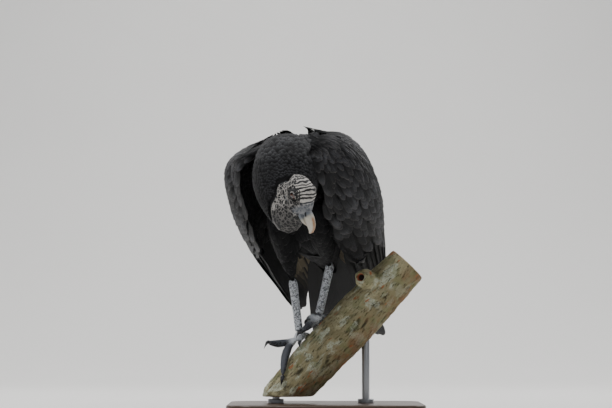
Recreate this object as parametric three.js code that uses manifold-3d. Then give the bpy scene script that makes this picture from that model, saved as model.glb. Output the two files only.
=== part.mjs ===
// A black vulture (Coragyps atratus) at life size, hunched on a cut length of branch
// with its head bowed and turned to its left, on a flat display base.
// Millimetres, +Z up. The origin is the centre of the base's underside, the branch
// climbs towards +X, and the bird looks out over -Y.
import * as THREE from "three";
import { mergeVertices } from "three/addons/utils/BufferGeometryUtils.js";
import Module from "manifold-3d";

const wasm = await Module();
wasm.setup();

// ---- driving dimensions ------------------------------------------------------------

const GAP = 0.4; // clearance between pieces that touch
const RAD = Math.PI / 180;

const BASE = { length: 300, depth: 230, height: 18, corner: 34, bevel: 2.5 };
const ROD_RADIUS = 6;
const ROD_LOW = { x: -76, y: -4, top: 46 };
const ROD_HIGH = { x: 62, y: 3, top: 150 };

const PERCH = {
  centre: [-7, 0, 90], // a point of the axis under the bird's feet
  slope: 46.6, // degrees above the horizontal
  radius: 36,
  lowCut: 28, // height of the level cut at the low end
  highEnd: 196, // length of the axis above the centre point
};

const BODY = {
  shoulders: [-52, -75, 396], // midpoint between the shoulder joints
  heading: 19, // degrees that the chest is turned from -Y towards -X
  pitch: 44, // degrees that the back slopes up to the shoulders
  roll: 4, // degrees that the left side stands above the right
};

const HEAD = {
  centre: [-37, -187, 328], // midline of the skull, level with the eyes
  forward: [0.31, -0.02, -0.95], // from the nape to the bill
  crown: [0.545, -0.819, 0.178],
};

const EYE = { along: 0, side: 15.2, up: 4.5, radius: 7 };

const TARSUS_ANKLE_RIGHT = [-50, 17, 203];
const TARSUS_ANKLE_LEFT = [7, 30, 228];

// ---- colours and materials ---------------------------------------------------------

const material = (color, roughness, metalness = 0) =>
  new THREE.MeshStandardMaterial({ color, roughness, metalness });
const FEATHER = material(0x17171a, 0.62);
const BARE_SKIN = material(0x6e6d6d, 0.6);
const SHANK_SKIN = material(0xa9acb2, 0.65);
const TOE_SKIN = material(0x4a4a4f, 0.6);
const BILL_HORN = material(0xb0aca2, 0.38);
const CLAW_HORN = material(0x16171a, 0.35);
const EYE_BROWN = material(0x1c0c0a, 0.08);
const BARK = material(0x857457, 0.9);
const BASE_WOOD = material(0x2b211b, 0.45);
const ROD_STEEL = material(0x8d8f92, 0.3, 1);

// ---- solids ------------------------------------------------------------------------

const vec = (p) => new THREE.Vector3(...p);

// A closed geometry as a manifold solid.
function solidOf(geometry) {
  const bare = geometry.clone();
  bare.deleteAttribute("normal");
  bare.deleteAttribute("uv");
  const merged = mergeVertices(bare, 1e-3);
  return new wasm.Manifold(
    new wasm.Mesh({
      numProp: 3,
      vertProperties: merged.attributes.position.array,
      triVerts: new Uint32Array(merged.index.array),
    }),
  );
}

// A manifold solid as a geometry.
function geometryOf(solid) {
  const mesh = solid.getMesh();
  const position = new Float32Array(mesh.numVert * 3);
  for (let i = 0; i < mesh.numVert; i++)
    position.set(
      mesh.vertProperties.subarray(i * mesh.numProp, i * mesh.numProp + 3),
      i * 3,
    );
  const geometry = new THREE.BufferGeometry()
    .setAttribute("position", new THREE.BufferAttribute(position, 3))
    .setIndex(new THREE.BufferAttribute(mesh.triVerts, 1));
  geometry.computeVertexNormals();
  return geometry;
}

// Facets smaller than this, which a cut can leave, are merged into their neighbours.
const FINEST_FACET = 0.16;

const joined = (solids) => solids.reduce((a, b) => a.add(b));
const cut = (solid, ...tools) => tools.reduce((a, b) => a.subtract(b), solid);

// The largest single body of a solid, without slivers that a cut has set free.
function mainBody(solid) {
  const bodies = solid.decompose();
  return bodies.reduce((a, b) => (a.volume() > b.volume() ? a : b));
}

// |x| to a power with the sign of x, which squares up an ellipse for powers under 1.
const bulge = (x, power) => Math.sign(x) * Math.abs(x) ** power;

// Smooth interpolation through rows [t, a, b, ...] sorted by t.
function smoothAt(rows, t) {
  const last = rows.length - 1;
  let i = 0;
  while (i < last - 1 && t > rows[i + 1][0]) i++;
  const [p, q] = [rows[i], rows[i + 1]];
  const before = rows[Math.max(i - 1, 0)];
  const after = rows[Math.min(i + 2, last)];
  const span = q[0] - p[0];
  const x = THREE.MathUtils.clamp((t - p[0]) / span, 0, 1);
  return p.slice(1).map((value, k) => {
    const next = q[k + 1];
    const startSlope = ((next - before[k + 1]) / (q[0] - before[0])) * span;
    const endSlope = ((after[k + 1] - value) / (after[0] - p[0])) * span;
    const x2 = x * x;
    const x3 = x2 * x;
    return (
      (2 * x3 - 3 * x2 + 1) * value +
      (x3 - 2 * x2 + x) * startSlope +
      (3 * x2 - 2 * x3) * next +
      (x3 - x2) * endSlope
    );
  });
}

// A sphere whose vertices are moved to place(polar 0..1, azimuth, fullness): a closed
// form with a pole at each end.
function deformedSphere(sides, rings, place) {
  const geometry = new THREE.SphereGeometry(1, sides, rings);
  const position = geometry.getAttribute("position");
  for (let i = 0; i < position.count; i++) {
    const y = THREE.MathUtils.clamp(position.getY(i), -1, 1);
    const polar = Math.acos(y);
    const azimuth = Math.atan2(position.getZ(i), position.getX(i));
    const full = Math.sin(polar) < 1e-6 ? 0 : Math.sin(polar);
    const p = place(polar / Math.PI, azimuth, full);
    position.setXYZ(i, p.x, p.y, p.z);
  }
  const solid = solidOf(geometry);
  return solid.volume() < 0 ? flipped(geometry) : solid;
}

function flipped(geometry) {
  const index = geometry.getIndex();
  for (let i = 0; i < index.count; i += 3) {
    const b = index.getX(i + 1);
    index.setX(i + 1, index.getX(i + 2));
    index.setX(i + 2, b);
  }
  return solidOf(geometry);
}

// A closed limb along a smooth path. rows are [t, half width, half height] for t from
// 0 to 1, the height being measured towards up. Under 1, blunt squares the two ends and
// square the cross-section. flatTips crowds the rings towards the two ends.
function limb(options) {
  const { path, rows, up, sides, rings, grow = 0 } = options;
  const { blunt = 0.55, square = 1, flatTips = false } = options;
  const curve = new THREE.CatmullRomCurve3(path.map(vec), false, "centripetal");
  const upward = vec(up);
  return deformedSphere(sides, rings, (polar, azimuth, full) => {
    const along = flatTips ? 0.5 - 0.5 * Math.cos(Math.PI * polar) : polar;
    const centre = curve.getPoint(along);
    const tangent = curve.getTangent(along);
    const side = new THREE.Vector3().crossVectors(upward, tangent).normalize();
    const top = new THREE.Vector3().crossVectors(tangent, side);
    const [width, height] = smoothAt(rows, along);
    const ends = Math.pow(full, blunt);
    return centre
      .addScaledVector(side, ends * (width + grow) * bulge(Math.cos(azimuth), square))
      .addScaledVector(top, ends * (height + grow) * bulge(Math.sin(azimuth), square))
      .addScaledVector(tangent, -grow * Math.cos(Math.PI * polar));
  });
}

// An ellipsoid with its three radii along the given axes.
function ellipsoid({ centre, radii, axes, sides, rings }) {
  const geometry = new THREE.SphereGeometry(1, sides, rings);
  const [a, b, c] = axes.map((axis, i) => vec(axis).multiplyScalar(radii[i]));
  geometry.applyMatrix4(
    new THREE.Matrix4().makeBasis(a, b, c).setPosition(...centre),
  );
  const solid = solidOf(geometry);
  return solid.volume() < 0 ? flipped(geometry) : solid;
}

// ---- frames ------------------------------------------------------------------------

// The trunk's own axes: back runs from the shoulders to the tail, left is the bird's
// left, and dorsal points out of its back.
const headingAngle = BODY.heading * RAD;
const pitchAngle = BODY.pitch * RAD;
const heading = new THREE.Vector3(-Math.sin(headingAngle), -Math.cos(headingAngle), 0);
const level = new THREE.Vector3(Math.cos(headingAngle), -Math.sin(headingAngle), 0);
const back = heading
  .clone()
  .multiplyScalar(-Math.cos(pitchAngle))
  .setZ(-Math.sin(pitchAngle));
const left = level.clone().applyAxisAngle(back, -BODY.roll * RAD);
const dorsal = new THREE.Vector3().crossVectors(left, back);

// A point given by millimetres behind the shoulders, to the left, and towards the back.
const body = ([behind, aside, above]) =>
  vec(BODY.shoulders)
    .addScaledVector(back, behind)
    .addScaledVector(left, aside)
    .addScaledVector(dorsal, above)
    .toArray();

const bill = vec(HEAD.forward).normalize();
const crown = vec(HEAD.crown);
crown.addScaledVector(bill, -crown.dot(bill)).normalize();
const cheek = new THREE.Vector3().crossVectors(crown, bill); // the bird's left

// A point given by millimetres towards the bill, to the left, and towards the crown.
const skull = ([along, aside, above]) =>
  vec(HEAD.centre)
    .addScaledVector(bill, along)
    .addScaledVector(cheek, aside)
    .addScaledVector(crown, above)
    .toArray();
const SKULL_AXES = [bill.toArray(), cheek.toArray(), crown.toArray()];

const slope = PERCH.slope * RAD;
const climb = new THREE.Vector3(Math.cos(slope), 0, Math.sin(slope));
const perchTop = new THREE.Vector3(-Math.sin(slope), 0, Math.cos(slope));
const nearSide = new THREE.Vector3(0, -1, 0);

// A point over the bark: millimetres up the slope, degrees from the top line towards
// the near side, and millimetres above the bark.
const overBark = ([up, turn, above]) =>
  vec(PERCH.centre)
    .addScaledVector(climb, up)
    .addScaledVector(perchTop, (PERCH.radius + above) * Math.cos(turn * RAD))
    .addScaledVector(nearSide, (PERCH.radius + above) * Math.sin(turn * RAD))
    .toArray();

// ---- trunk -------------------------------------------------------------------------

// The trunk with the two shoulders that the folded wings lie over.
function trunkSolid(grow = 0) {
  const barrel = limb({
    path: [
      [-30, 2, -8],
      [34, 0, -2],
      [110, 0, 0],
      [190, 0, 8],
      [262, 0, 10],
    ].map(body),
    rows: [
      [0, 44, 46],
      [0.18, 52, 57],
      [0.42, 55, 65],
      [0.66, 50, 54],
      [0.85, 36, 32],
      [1, 24, 14],
    ],
    up: dorsal.toArray(),
    sides: 18,
    rings: 11,
    grow,
    square: 0.82,
  });
  const shoulders = [-1, 1].map((side) =>
    ellipsoid({
      centre: body([36, side * 44, 2]),
      radii: [50, 27, 33].map((radius) => radius + grow),
      axes: [back, left, dorsal].map((axis) => axis.toArray()),
      sides: 8,
      rings: 5,
    }),
  );
  return joined([barrel, ...shoulders]);
}

// ---- neck and head -----------------------------------------------------------------

// The feathered neck rises out of the shoulders and hangs in a hood round the head.
function neckSolid(grow = 0) {
  return limb({
    path: [
      [-46, -44, 362],
      [-54, -84, 385],
      [-60, -118, 358],
      [-60, -130, 316],
      [-58, -134, 270],
    ],
    rows: [
      [0, 44, 44],
      [0.28, 50, 50],
      [0.55, 49, 50],
      [0.82, 40, 43],
      [1, 24, 28],
    ],
    up: [1, 0, 0],
    sides: 16,
    rings: 10,
    grow,
    blunt: 0.5,
    square: 0.8,
  });
}

// The loose skin of the throat, from the chin back into the feathered neck.
const THROAT = {
  path: [
    [-43, -190, 304],
    [-51.5, -168, 306],
    [-57.5, -142, 307],
    [-58, -110, 312],
  ],
  rows: [
    [0, 12, 13],
    [0.36, 23.5, 31],
    [0.66, 28, 37],
    [1, 26, 33],
  ],
};

// The nape, from the back of the skull into the feathered neck.
const NAPE = {
  path: [
    [-47, -180, 335],
    [-55, -157, 331],
    [-58, -118, 334],
  ],
  rows: [
    [0, 17, 17],
    [0.5, 22.5, 22.5],
    [1, 23, 23],
  ],
};

// The bare head with the throat, without bill and eyes.
function headSolid(grow = 0) {
  const cranium = limb({
    path: [
      [-29, 0, -3],
      [-16, 0, -1],
      [0, 0, -1],
      [18, 0, -1],
      [38, 0, -1.5],
    ].map(skull),
    rows: [
      [0, 15, 16],
      [0.25, 19.5, 20.5],
      [0.5, 20.5, 21.5],
      [0.72, 17.5, 18.5],
      [0.88, 13.5, 15],
      [1, 9.5, 11.5],
    ],
    up: crown.toArray(),
    sides: 14,
    rings: 10,
    grow,
  });
  const brows = [-1, 1].map((side) =>
    ellipsoid({
      centre: skull([2, side * 12.7, 10.5]),
      radii: [12, 5, 5].map((radius) => radius + grow),
      axes: SKULL_AXES,
      sides: 7,
      rings: 5,
    }),
  );
  const neckEnds = [THROAT, NAPE].map((shape) =>
    limb({ ...shape, up: [0, 0, 1], sides: 12, rings: 6, grow }),
  );
  return joined([cranium, ...neckEnds, ...brows]);
}

const UPPER_BILL = {
  path: [
    [23, 0, 0],
    [33, 0, 0.4],
    [43, 0, 0.2],
    [51, 0, -1.5],
    [57, 0, -6.5],
    [58.5, 0, -14],
  ],
  rows: [
    [0, 9.5, 10],
    [0.2, 8.8, 9.4],
    [0.42, 6.9, 8],
    [0.62, 5.9, 7.2],
    [0.82, 4.1, 5.4],
    [1, 1.3, 1.9],
  ],
};

const LOWER_BILL = {
  path: [
    [12, 0, -12.5],
    [26, 0, -13.2],
    [38, 0, -12.8],
    [48.5, 0, -11.2],
  ],
  rows: [
    [0, 9.5, 5.5],
    [0.4, 8, 5],
    [0.75, 6, 4],
    [1, 3.2, 2.4],
  ],
};

const billSolid = (shape, grow = 0) =>
  limb({
    path: shape.path.map(skull),
    rows: shape.rows,
    up: crown.toArray(),
    sides: 10,
    rings: 9,
    grow,
    blunt: 0.5,
  });

const eyeSolid = (side, grow = 0) =>
  ellipsoid({
    centre: skull([EYE.along, side * EYE.side, EYE.up]),
    radii: [1, 1, 1].map((unit) => unit * (EYE.radius + grow)),
    axes: SKULL_AXES,
    sides: 10,
    rings: 6,
  });

// ---- wings -------------------------------------------------------------------------

// A folded wing as a bent slab: rows along it give its leading edge, its middle and its
// dorsal edge as [t, behind, aside, above], in the trunk's frame.
const WING_LEFT = {
  edge: [
    [0, -34, 24, -34],
    [0.1, -26, 52, -58],
    [0.25, 66, 50, -74],
    [0.5, 168, 50, -60],
    [0.75, 280, 54, -20],
    [1, 386, 58, 32],
  ],
  middle: [
    [0, -34, 30, 0],
    [0.1, -4, 82, 14],
    [0.25, 76, 101, 14],
    [0.5, 180, 94, 18],
    [0.75, 283, 76, 26],
    [1, 394, 50, 40],
  ],
  crest: [
    [0, -32, 16, 30],
    [0.1, 16, 12, 69],
    [0.25, 76, 4, 76],
    [0.5, 180, 4, 68],
    [0.75, 276, 5, 54],
    [1, 384, 12, 47],
  ],
};
const WING_RIGHT = {
  edge: [
    [0, -32, 26, -34],
    [0.1, -26, 64, -58],
    [0.25, 60, 74, -66],
    [0.5, 160, 80, -48],
    [0.75, 262, 85, -12],
    [1, 356, 82, 26],
  ],
  middle: [
    [0, -30, 34, 0],
    [0.1, 2, 84, 6],
    [0.25, 60, 97, 12],
    [0.5, 160, 99, 16],
    [0.75, 262, 86, 26],
    [1, 376, 62, 38],
  ],
  crest: [
    [0, -28, 18, 26],
    [0.1, 12, 12, 66],
    [0.25, 60, 5, 74],
    [0.5, 160, 5, 68],
    [0.75, 262, 6, 54],
    [1, 374, 26, 44],
  ],
};
const WING_THICKNESS = [
  // t, outward, inward
  [0, 8, 10],
  [0.1, 14, 34],
  [0.25, 13, 36],
  [0.5, 8, 14],
  [0.75, 4, 4],
  [1, 1.4, 1.4],
];
const SLAB_END = 0.8; // share of the wing's length that the slab covers

// The wing's middle surface at t along and v across, with its outward normal.
function wingSurface(wing, side, t, v) {
  const [edge, middle, crest] = ["edge", "middle", "crest"].map((line) => {
    const [behind, aside, above] = smoothAt(wing[line], t);
    return vec(body([behind, side * aside, above]));
  });
  const control = middle
    .clone()
    .multiplyScalar(2)
    .addScaledVector(edge, -0.5)
    .addScaledVector(crest, -0.5);
  const point = edge
    .clone()
    .multiplyScalar((1 - v) ** 2)
    .addScaledVector(control, 2 * v * (1 - v))
    .addScaledVector(crest, v * v);
  const across = control
    .clone()
    .sub(edge)
    .multiplyScalar(1 - v)
    .addScaledVector(crest.clone().sub(control), v)
    .normalize();
  const outward = new THREE.Vector3()
    .crossVectors(across, back)
    .multiplyScalar(-side)
    .normalize();
  return { point, across, outward };
}

const BLADE_MIDDLE = 0.7; // where on its length a blade lies flat on the surface

// One flight feather as a thin flat blade on the wing's surface.
function wingBlade(wing, side, { root, tip, halfWidth, lift }) {
  const surfaceAt = (along) =>
    wingSurface(
      wing,
      side,
      THREE.MathUtils.lerp(root[0], tip[0], along),
      THREE.MathUtils.lerp(root[1], tip[1], along),
    );
  const { across, outward } = surfaceAt(BLADE_MIDDLE);
  return deformedSphere(4, 4, (polar, azimuth, full) => {
    const along = 0.5 - 0.5 * Math.cos(Math.PI * polar);
    const { point } = surfaceAt(along);
    const ends = Math.pow(full, 0.45);
    const width = halfWidth * (1 - 0.35 * along * along);
    return point
      .addScaledVector(across, ends * width * Math.cos(azimuth))
      .addScaledVector(outward, lift + ends * 1.1 * Math.sin(azimuth));
  });
}

const PRIMARY_TIPS = [0.92, 0.97, 1, 0.99, 0.96, 0.92]; // from the leading edge inwards
const SECONDARY_TIPS = [0.92, 0.89, 0.84, 0.78];

function wingSolid(wing, side) {
  const slab = deformedSphere(16, 9, (along, azimuth, full) => {
    const t = SLAB_END * along;
    const spread = Math.pow(full, 0.55);
    const v = 0.5 - 0.5 * spread * Math.cos(azimuth);
    const [out, inward] = smoothAt(WING_THICKNESS, t);
    const depth = Math.sin(azimuth) > 0 ? out : inward;
    const { point, outward } = wingSurface(wing, side, t, v);
    return point.addScaledVector(outward, spread * depth * Math.sin(azimuth));
  });
  const primaries = PRIMARY_TIPS.map((tip, i) =>
    wingBlade(wing, side, {
      root: [0.62, 0.14 + 0.09 * i],
      tip: [tip, 0.08 + 0.13 * i],
      halfWidth: 10.5,
      lift: -0.5 + 0.3 * i,
    }),
  );
  const secondaries = SECONDARY_TIPS.map((tip, i) =>
    wingBlade(wing, side, {
      root: [0.56, 0.56 + 0.12 * i],
      tip: [tip, 0.62 + 0.11 * i],
      halfWidth: 15,
      lift: 1 + 0.3 * i,
    }),
  );
  return joined([slab, ...primaries, ...secondaries]);
}

// ---- tail --------------------------------------------------------------------------

const TAIL = {
  feathers: 12,
  start: 205,
  length: 212,
  lift: 20, // how far the tip stands above the line of the back
  rootStep: 2.4, // between neighbouring feathers
  tipStep: 9.6,
  halfWidth: 13,
};

function tailSolid() {
  const middle = (TAIL.feathers - 1) / 2;
  const feathers = [];
  for (let i = 0; i < TAIL.feathers; i++) {
    const rank = i - middle;
    const end = TAIL.length - 1.2 * Math.abs(rank);
    const droop = -0.34 * rank * rank;
    const path = [0, 0.5, 1].map((share) =>
      body([
        TAIL.start + end * share,
        rank * THREE.MathUtils.lerp(TAIL.rootStep, TAIL.tipStep, share),
        4 + TAIL.lift * share + droop * share - 0.25 * Math.abs(rank),
      ]),
    );
    feathers.push(
      limb({
        path,
        rows: [
          [0, 6, 1.3],
          [0.5, TAIL.halfWidth * 0.8, 1.2],
          [0.85, TAIL.halfWidth * 0.92, 1],
          [1, TAIL.halfWidth * 0.85, 0.8],
        ],
        up: dorsal.toArray(),
        sides: 4,
        rings: 4,
        blunt: 0.3,
        flatTips: true,
      }),
    );
  }
  return joined(feathers);
}

// ---- legs and feet -----------------------------------------------------------------

const LEGS = {
  right: {
    ankle: TARSUS_ANKLE_RIGHT,
    hip: [118, -20, 6],
    knee: [84, -31, -40],
    joint: [0, -4, 9],
    toes: {
      middle: {
        path: [[-3, -2, 8.5], [-20, 4, 10.5], [-35, 22, 8.5], [-50, 42, 6.5], [-62, 59, 6]],
        thick: 6.6,
        claw: [[-67, 65, 8.5], [-76, 71, 2.5]],
      },
      outer: {
        path: [[-3, -4, 9], [-17, 0, 14], [-30, 6, 24], [-37, 14, 34], [-39, 22, 42]],
        thick: 5.8,
        claw: [[-42, 28, 48], [-53, 32, 47]],
      },
      inner: {
        path: [[0, 0, 9], [-2, 12, 8], [-6, 22, 5.5]],
        thick: 5.7,
        claw: [[-9, 29, 7.5], [-13, 36, 2]],
      },
      hind: {
        path: [[1, -10, 8], [7, -26, 7], [13, -44, 5.5]],
        thick: 5.2,
        claw: [[17, -54, 8], [22, -64, 2]],
      },
    },
  },
  left: {
    ankle: TARSUS_ANKLE_LEFT,
    hip: [118, 20, 6],
    knee: [84, 31, -40],
    joint: [39, -16, 8.5],
    toes: {
      middle: {
        path: [[36, -14, 8.5], [27, -3, 9], [16, 9, 11], [7, 17, 13]],
        thick: 6.2,
        claw: [[2, 19, 16.5], [-7, 20, 13]],
      },
      outer: {
        path: [[38, -18, 9], [44, -30, 8], [52, -42, 7], [58, -52, 6]],
        thick: 5.7,
        claw: [[61, -60, 8], [66, -68, 2]],
      },
      inner: {
        path: [[38, -20, 9], [37, -24, 16], [31, -24, 22], [25, -22, 22]],
        thick: 5.6,
        claw: [[20, -20, 20], [18, -19, 10]],
      },
      hind: {
        path: [[38, -22, 8], [37, -38, 7], [35, -54, 5.5]],
        thick: 5.2,
        claw: [[34, -64, 8], [33, -74, 2]],
      },
    },
  },
};

// The feathered thigh, from the flank to the ankle.
function thighSolid(leg, grow = 0) {
  const ankle = vec(leg.ankle);
  const knee = vec(body(leg.knee));
  const hip = vec(body(leg.hip));
  return limb({
    path: [hip.toArray(), knee.toArray(), knee.clone().lerp(ankle, 0.6).toArray(), leg.ankle],
    rows: [
      [0, 30, 22],
      [0.35, 34, 22.5],
      [0.7, 21, 16],
      [0.9, 11, 9.5],
      [1, 7, 6.5],
    ],
    up: left.toArray(),
    sides: 12,
    rings: 9,
    grow,
  });
}

const SHANK_END = 0.94; // share of the way from the ankle to the toes' joint

// The bare tarsus, from inside the thigh's feathers to just above the toes' joint.
function shankSolid(leg, grow = 0) {
  const joint = vec(overBark(leg.joint));
  const ankle = vec(leg.ankle);
  return limb({
    path: [-0.1, 0.06, 0.5, SHANK_END].map((share) =>
      ankle.clone().lerp(joint, share).toArray(),
    ),
    rows: [
      [0, 7, 7.5],
      [0.15, 8, 9],
      [0.4, 5.8, 6.7],
      [0.75, 5.7, 6.2],
      [0.92, 7.2, 7],
      [1, 6.4, 6],
    ],
    up: heading.toArray(),
    sides: 10,
    rings: 10,
    grow,
  });
}

const TOE_JOINTS = 2; // swollen pads along a toe

function toeSolid({ path, thick }) {
  const rows = [];
  for (let i = 0; i <= 4 * TOE_JOINTS; i++) {
    const t = i / (4 * TOE_JOINTS);
    const pad = 0.07 * Math.cos(t * TOE_JOINTS * 2 * Math.PI);
    const radius = thick * (1 - 0.24 * t) * (1 + pad);
    rows.push([t, radius, radius * 0.95]);
  }
  return limb({
    path: path.map(overBark),
    rows,
    up: perchTop.toArray(),
    sides: 6,
    rings: 7,
    blunt: 0.5,
  });
}

// The pad that the four toes grow from.
const padSolid = (leg) =>
  ellipsoid({
    centre: overBark(leg.joint),
    radii: [9, 9, 7.5],
    axes: [climb, nearSide, perchTop].map((axis) => axis.toArray()),
    sides: 8,
    rings: 5,
  });

function clawSolid({ path, claw, thick }, grow = 0) {
  const root = path.at(-1);
  const start = path.at(-2).map((value, i) => value + (root[i] - value) * 0.86);
  const points = [start, root, ...claw].map(overBark);
  const [first, , bend, tip] = points.map(vec);
  return limb({
    path: points,
    rows: [
      [0, thick * 0.3, thick * 0.3],
      [0.35, thick * 0.56, thick * 0.6],
      [0.7, thick * 0.36, thick * 0.42],
      [1, 0.5, 0.6],
    ],
    up: new THREE.Vector3().crossVectors(bend.clone().sub(first), tip.sub(bend)).normalize().toArray(),
    sides: 6,
    rings: 6,
    grow,
    blunt: 0.5,
  });
}

// ---- perch and stand ---------------------------------------------------------------

// The branch: a lumpy limb with a broken stub and a dead twig, cut level at its low end.
function perchSolid(grow = 0) {
  const axis = (up, aside) =>
    vec(PERCH.centre).addScaledVector(climb, up).setY(aside).toArray();
  const wood = limb({
    path: [axis(-150, -8), axis(-40, -1), axis(50, 0), axis(130, 5), axis(PERCH.highEnd + 90, 14)],
    rows: [
      [0, 37, 37],
      [0.3, 36, 36],
      [0.5, 36, 36],
      [0.66, 38.5, 38],
      [0.78, 37, 37],
      [1, 37, 37],
    ],
    up: perchTop.toArray(),
    sides: 18,
    rings: 8,
    grow,
    blunt: 0.2,
  });
  const place = (up, out, near) =>
    vec(PERCH.centre)
      .addScaledVector(climb, up)
      .addScaledVector(perchTop, out)
      .addScaledVector(nearSide, near)
      .toArray();
  const stub = limb({
    path: [place(140, 10, 10), place(132, 34, 22), place(127, 48, 27)],
    rows: [
      [0, 18, 18],
      [0.6, 14, 14],
      [1, 10.5, 10.5],
    ],
    up: climb.toArray(),
    sides: 10,
    rings: 6,
    grow,
    blunt: 0.3,
  });
  const twig = limb({
    path: [place(168, 24, 24), place(164, 42, 34), place(150, 60, 40), place(138, 70, 42)],
    rows: [
      [0, 4.5, 4.5],
      [0.5, 3.2, 3.2],
      [1, 2.3, 2.3],
    ],
    up: climb.toArray(),
    sides: 6,
    rings: 6,
    grow,
    blunt: 0.4,
  });
  const room = 600;
  const below = new THREE.BoxGeometry(room, room, room);
  below.translate(0, 0, PERCH.lowCut - grow - room / 2);
  const beyond = new THREE.BoxGeometry(room, room, room);
  beyond.translate(PERCH.highEnd + grow + room / 2, 0, 0);
  beyond.rotateY(-slope);
  beyond.translate(...PERCH.centre);
  return cut(joined([wood, stub, twig]), solidOf(below), solidOf(beyond));
}

function baseGeometry() {
  const { length, depth, height, corner, bevel } = BASE;
  const [x, y] = [length / 2 - bevel, depth / 2 - bevel];
  const outline = new THREE.Shape()
    .moveTo(-x + corner, -y)
    .lineTo(x - corner, -y)
    .absarc(x - corner, -y + corner, corner, -Math.PI / 2, 0)
    .lineTo(x, y - corner)
    .absarc(x - corner, y - corner, corner, 0, Math.PI / 2)
    .lineTo(-x + corner, y)
    .absarc(-x + corner, y - corner, corner, Math.PI / 2, Math.PI)
    .lineTo(-x, -y + corner)
    .absarc(-x + corner, -y + corner, corner, Math.PI, Math.PI * 1.5);
  const geometry = new THREE.ExtrudeGeometry(outline, {
    depth: height - 2 * bevel,
    bevelThickness: bevel,
    bevelSize: bevel,
    bevelSegments: 1,
    curveSegments: 3,
  });
  return geometry.translate(0, 0, bevel);
}

function rodSolid({ x, y, top }, grow = 0) {
  const bottom = BASE.height + GAP - grow;
  const geometry = new THREE.CylinderGeometry(ROD_RADIUS + grow, ROD_RADIUS + grow, top - bottom, 16);
  geometry.rotateX(Math.PI / 2);
  geometry.translate(x, y, (top + bottom) / 2);
  return solidOf(geometry);
}

// ---- the whole ---------------------------------------------------------------------

const vulture = new THREE.Group();

function addPart(name, solid, skin) {
  const mesh = new THREE.Mesh(geometryOf(mainBody(solid.simplify(FINEST_FACET))), skin);
  mesh.name = name;
  vulture.add(mesh);
}

const trunk = trunkSolid();
const trunkRoom = trunkSolid(GAP);
const head = headSolid();
const headRoom = headSolid(GAP);
const neckRoom = neckSolid(GAP);
const upperBill = billSolid(UPPER_BILL);
const upperBillRoom = billSolid(UPPER_BILL, GAP);
const lowerBill = billSolid(LOWER_BILL);
const lowerBillRoom = billSolid(LOWER_BILL, GAP);
const perchRoom = perchSolid(GAP);

addPart("trunk", trunk, FEATHER);
addPart("neck", cut(neckSolid(), trunkRoom, headRoom), FEATHER);
addPart(
  "head",
  cut(head, upperBillRoom, lowerBillRoom, eyeSolid(-1, GAP), eyeSolid(1, GAP)),
  BARE_SKIN,
);
addPart("bill_upper", upperBill, BILL_HORN);
addPart("bill_lower", cut(lowerBill, upperBillRoom), BILL_HORN);
addPart("eye_right", eyeSolid(-1), EYE_BROWN);
addPart("eye_left", eyeSolid(1), EYE_BROWN);

const tail = cut(tailSolid(), trunkRoom);
addPart("tail", tail, FEATHER);

const thighs = [];
for (const [name, leg] of Object.entries(LEGS)) {
  const shank = shankSolid(leg);
  const shankRoom = shankSolid(leg, GAP);
  const toes = Object.values(leg.toes);
  const thigh = cut(thighSolid(leg), trunkRoom, shankRoom);
  thighs.push(thighSolid(leg, GAP));
  addPart(`thigh_${name}`, thigh, FEATHER);
  addPart(`shank_${name}`, cut(shank, perchRoom), SHANK_SKIN);
  const clawRooms = toes.map((toe) => clawSolid(toe, GAP));
  const foot = joined([padSolid(leg), ...toes.map(toeSolid)]);
  addPart(`foot_${name}`, cut(foot, shankRoom, perchRoom, ...clawRooms), TOE_SKIN);
  for (const [toeName, toe] of Object.entries(leg.toes))
    addPart(`claw_${name}_${toeName}`, cut(clawSolid(toe), perchRoom), CLAW_HORN);
}

addPart("wing_right", cut(wingSolid(WING_RIGHT, -1), trunkRoom, neckRoom, ...thighs), FEATHER);
addPart("wing_left", cut(wingSolid(WING_LEFT, 1), trunkRoom, neckRoom, ...thighs), FEATHER);

addPart("stand_perch", cut(perchSolid(), rodSolid(ROD_LOW, GAP), rodSolid(ROD_HIGH, GAP)), BARK);
addPart("stand_rod_low", rodSolid(ROD_LOW), ROD_STEEL);
addPart("stand_rod_high", rodSolid(ROD_HIGH), ROD_STEEL);
addPart("stand_base", solidOf(baseGeometry()), BASE_WOOD);

export default vulture;
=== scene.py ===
import math
from functools import lru_cache

import bmesh
import bpy
import numpy as np
from bpy.props import FloatProperty, FloatVectorProperty, IntProperty, PointerProperty
from mathutils import Matrix, Vector, noise
from mathutils.bvhtree import BVHTree
from mathutils.kdtree import KDTree


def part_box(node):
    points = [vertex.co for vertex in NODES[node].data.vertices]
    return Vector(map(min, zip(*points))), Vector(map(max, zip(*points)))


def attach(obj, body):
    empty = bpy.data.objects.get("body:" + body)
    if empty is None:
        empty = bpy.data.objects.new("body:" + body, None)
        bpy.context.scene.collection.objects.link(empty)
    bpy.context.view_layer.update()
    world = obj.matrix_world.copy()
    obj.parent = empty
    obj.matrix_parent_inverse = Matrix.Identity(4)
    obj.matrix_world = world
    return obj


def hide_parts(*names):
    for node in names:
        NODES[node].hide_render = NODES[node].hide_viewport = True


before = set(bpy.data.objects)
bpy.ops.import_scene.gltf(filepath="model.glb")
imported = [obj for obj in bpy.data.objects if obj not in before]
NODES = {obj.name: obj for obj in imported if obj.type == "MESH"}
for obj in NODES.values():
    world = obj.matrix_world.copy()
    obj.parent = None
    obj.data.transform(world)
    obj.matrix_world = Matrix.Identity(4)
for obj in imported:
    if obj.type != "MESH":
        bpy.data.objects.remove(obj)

bl_info = {
    "name": "Black vulture model",
    "version": (1, 0, 0),
    "blender": (4, 5, 0),
    "location": "3D View > Sidebar > Vulture",
    "description": "Skin, plumage, horn and stand of a life-size black vulture",
    "category": "Object",
}

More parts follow.
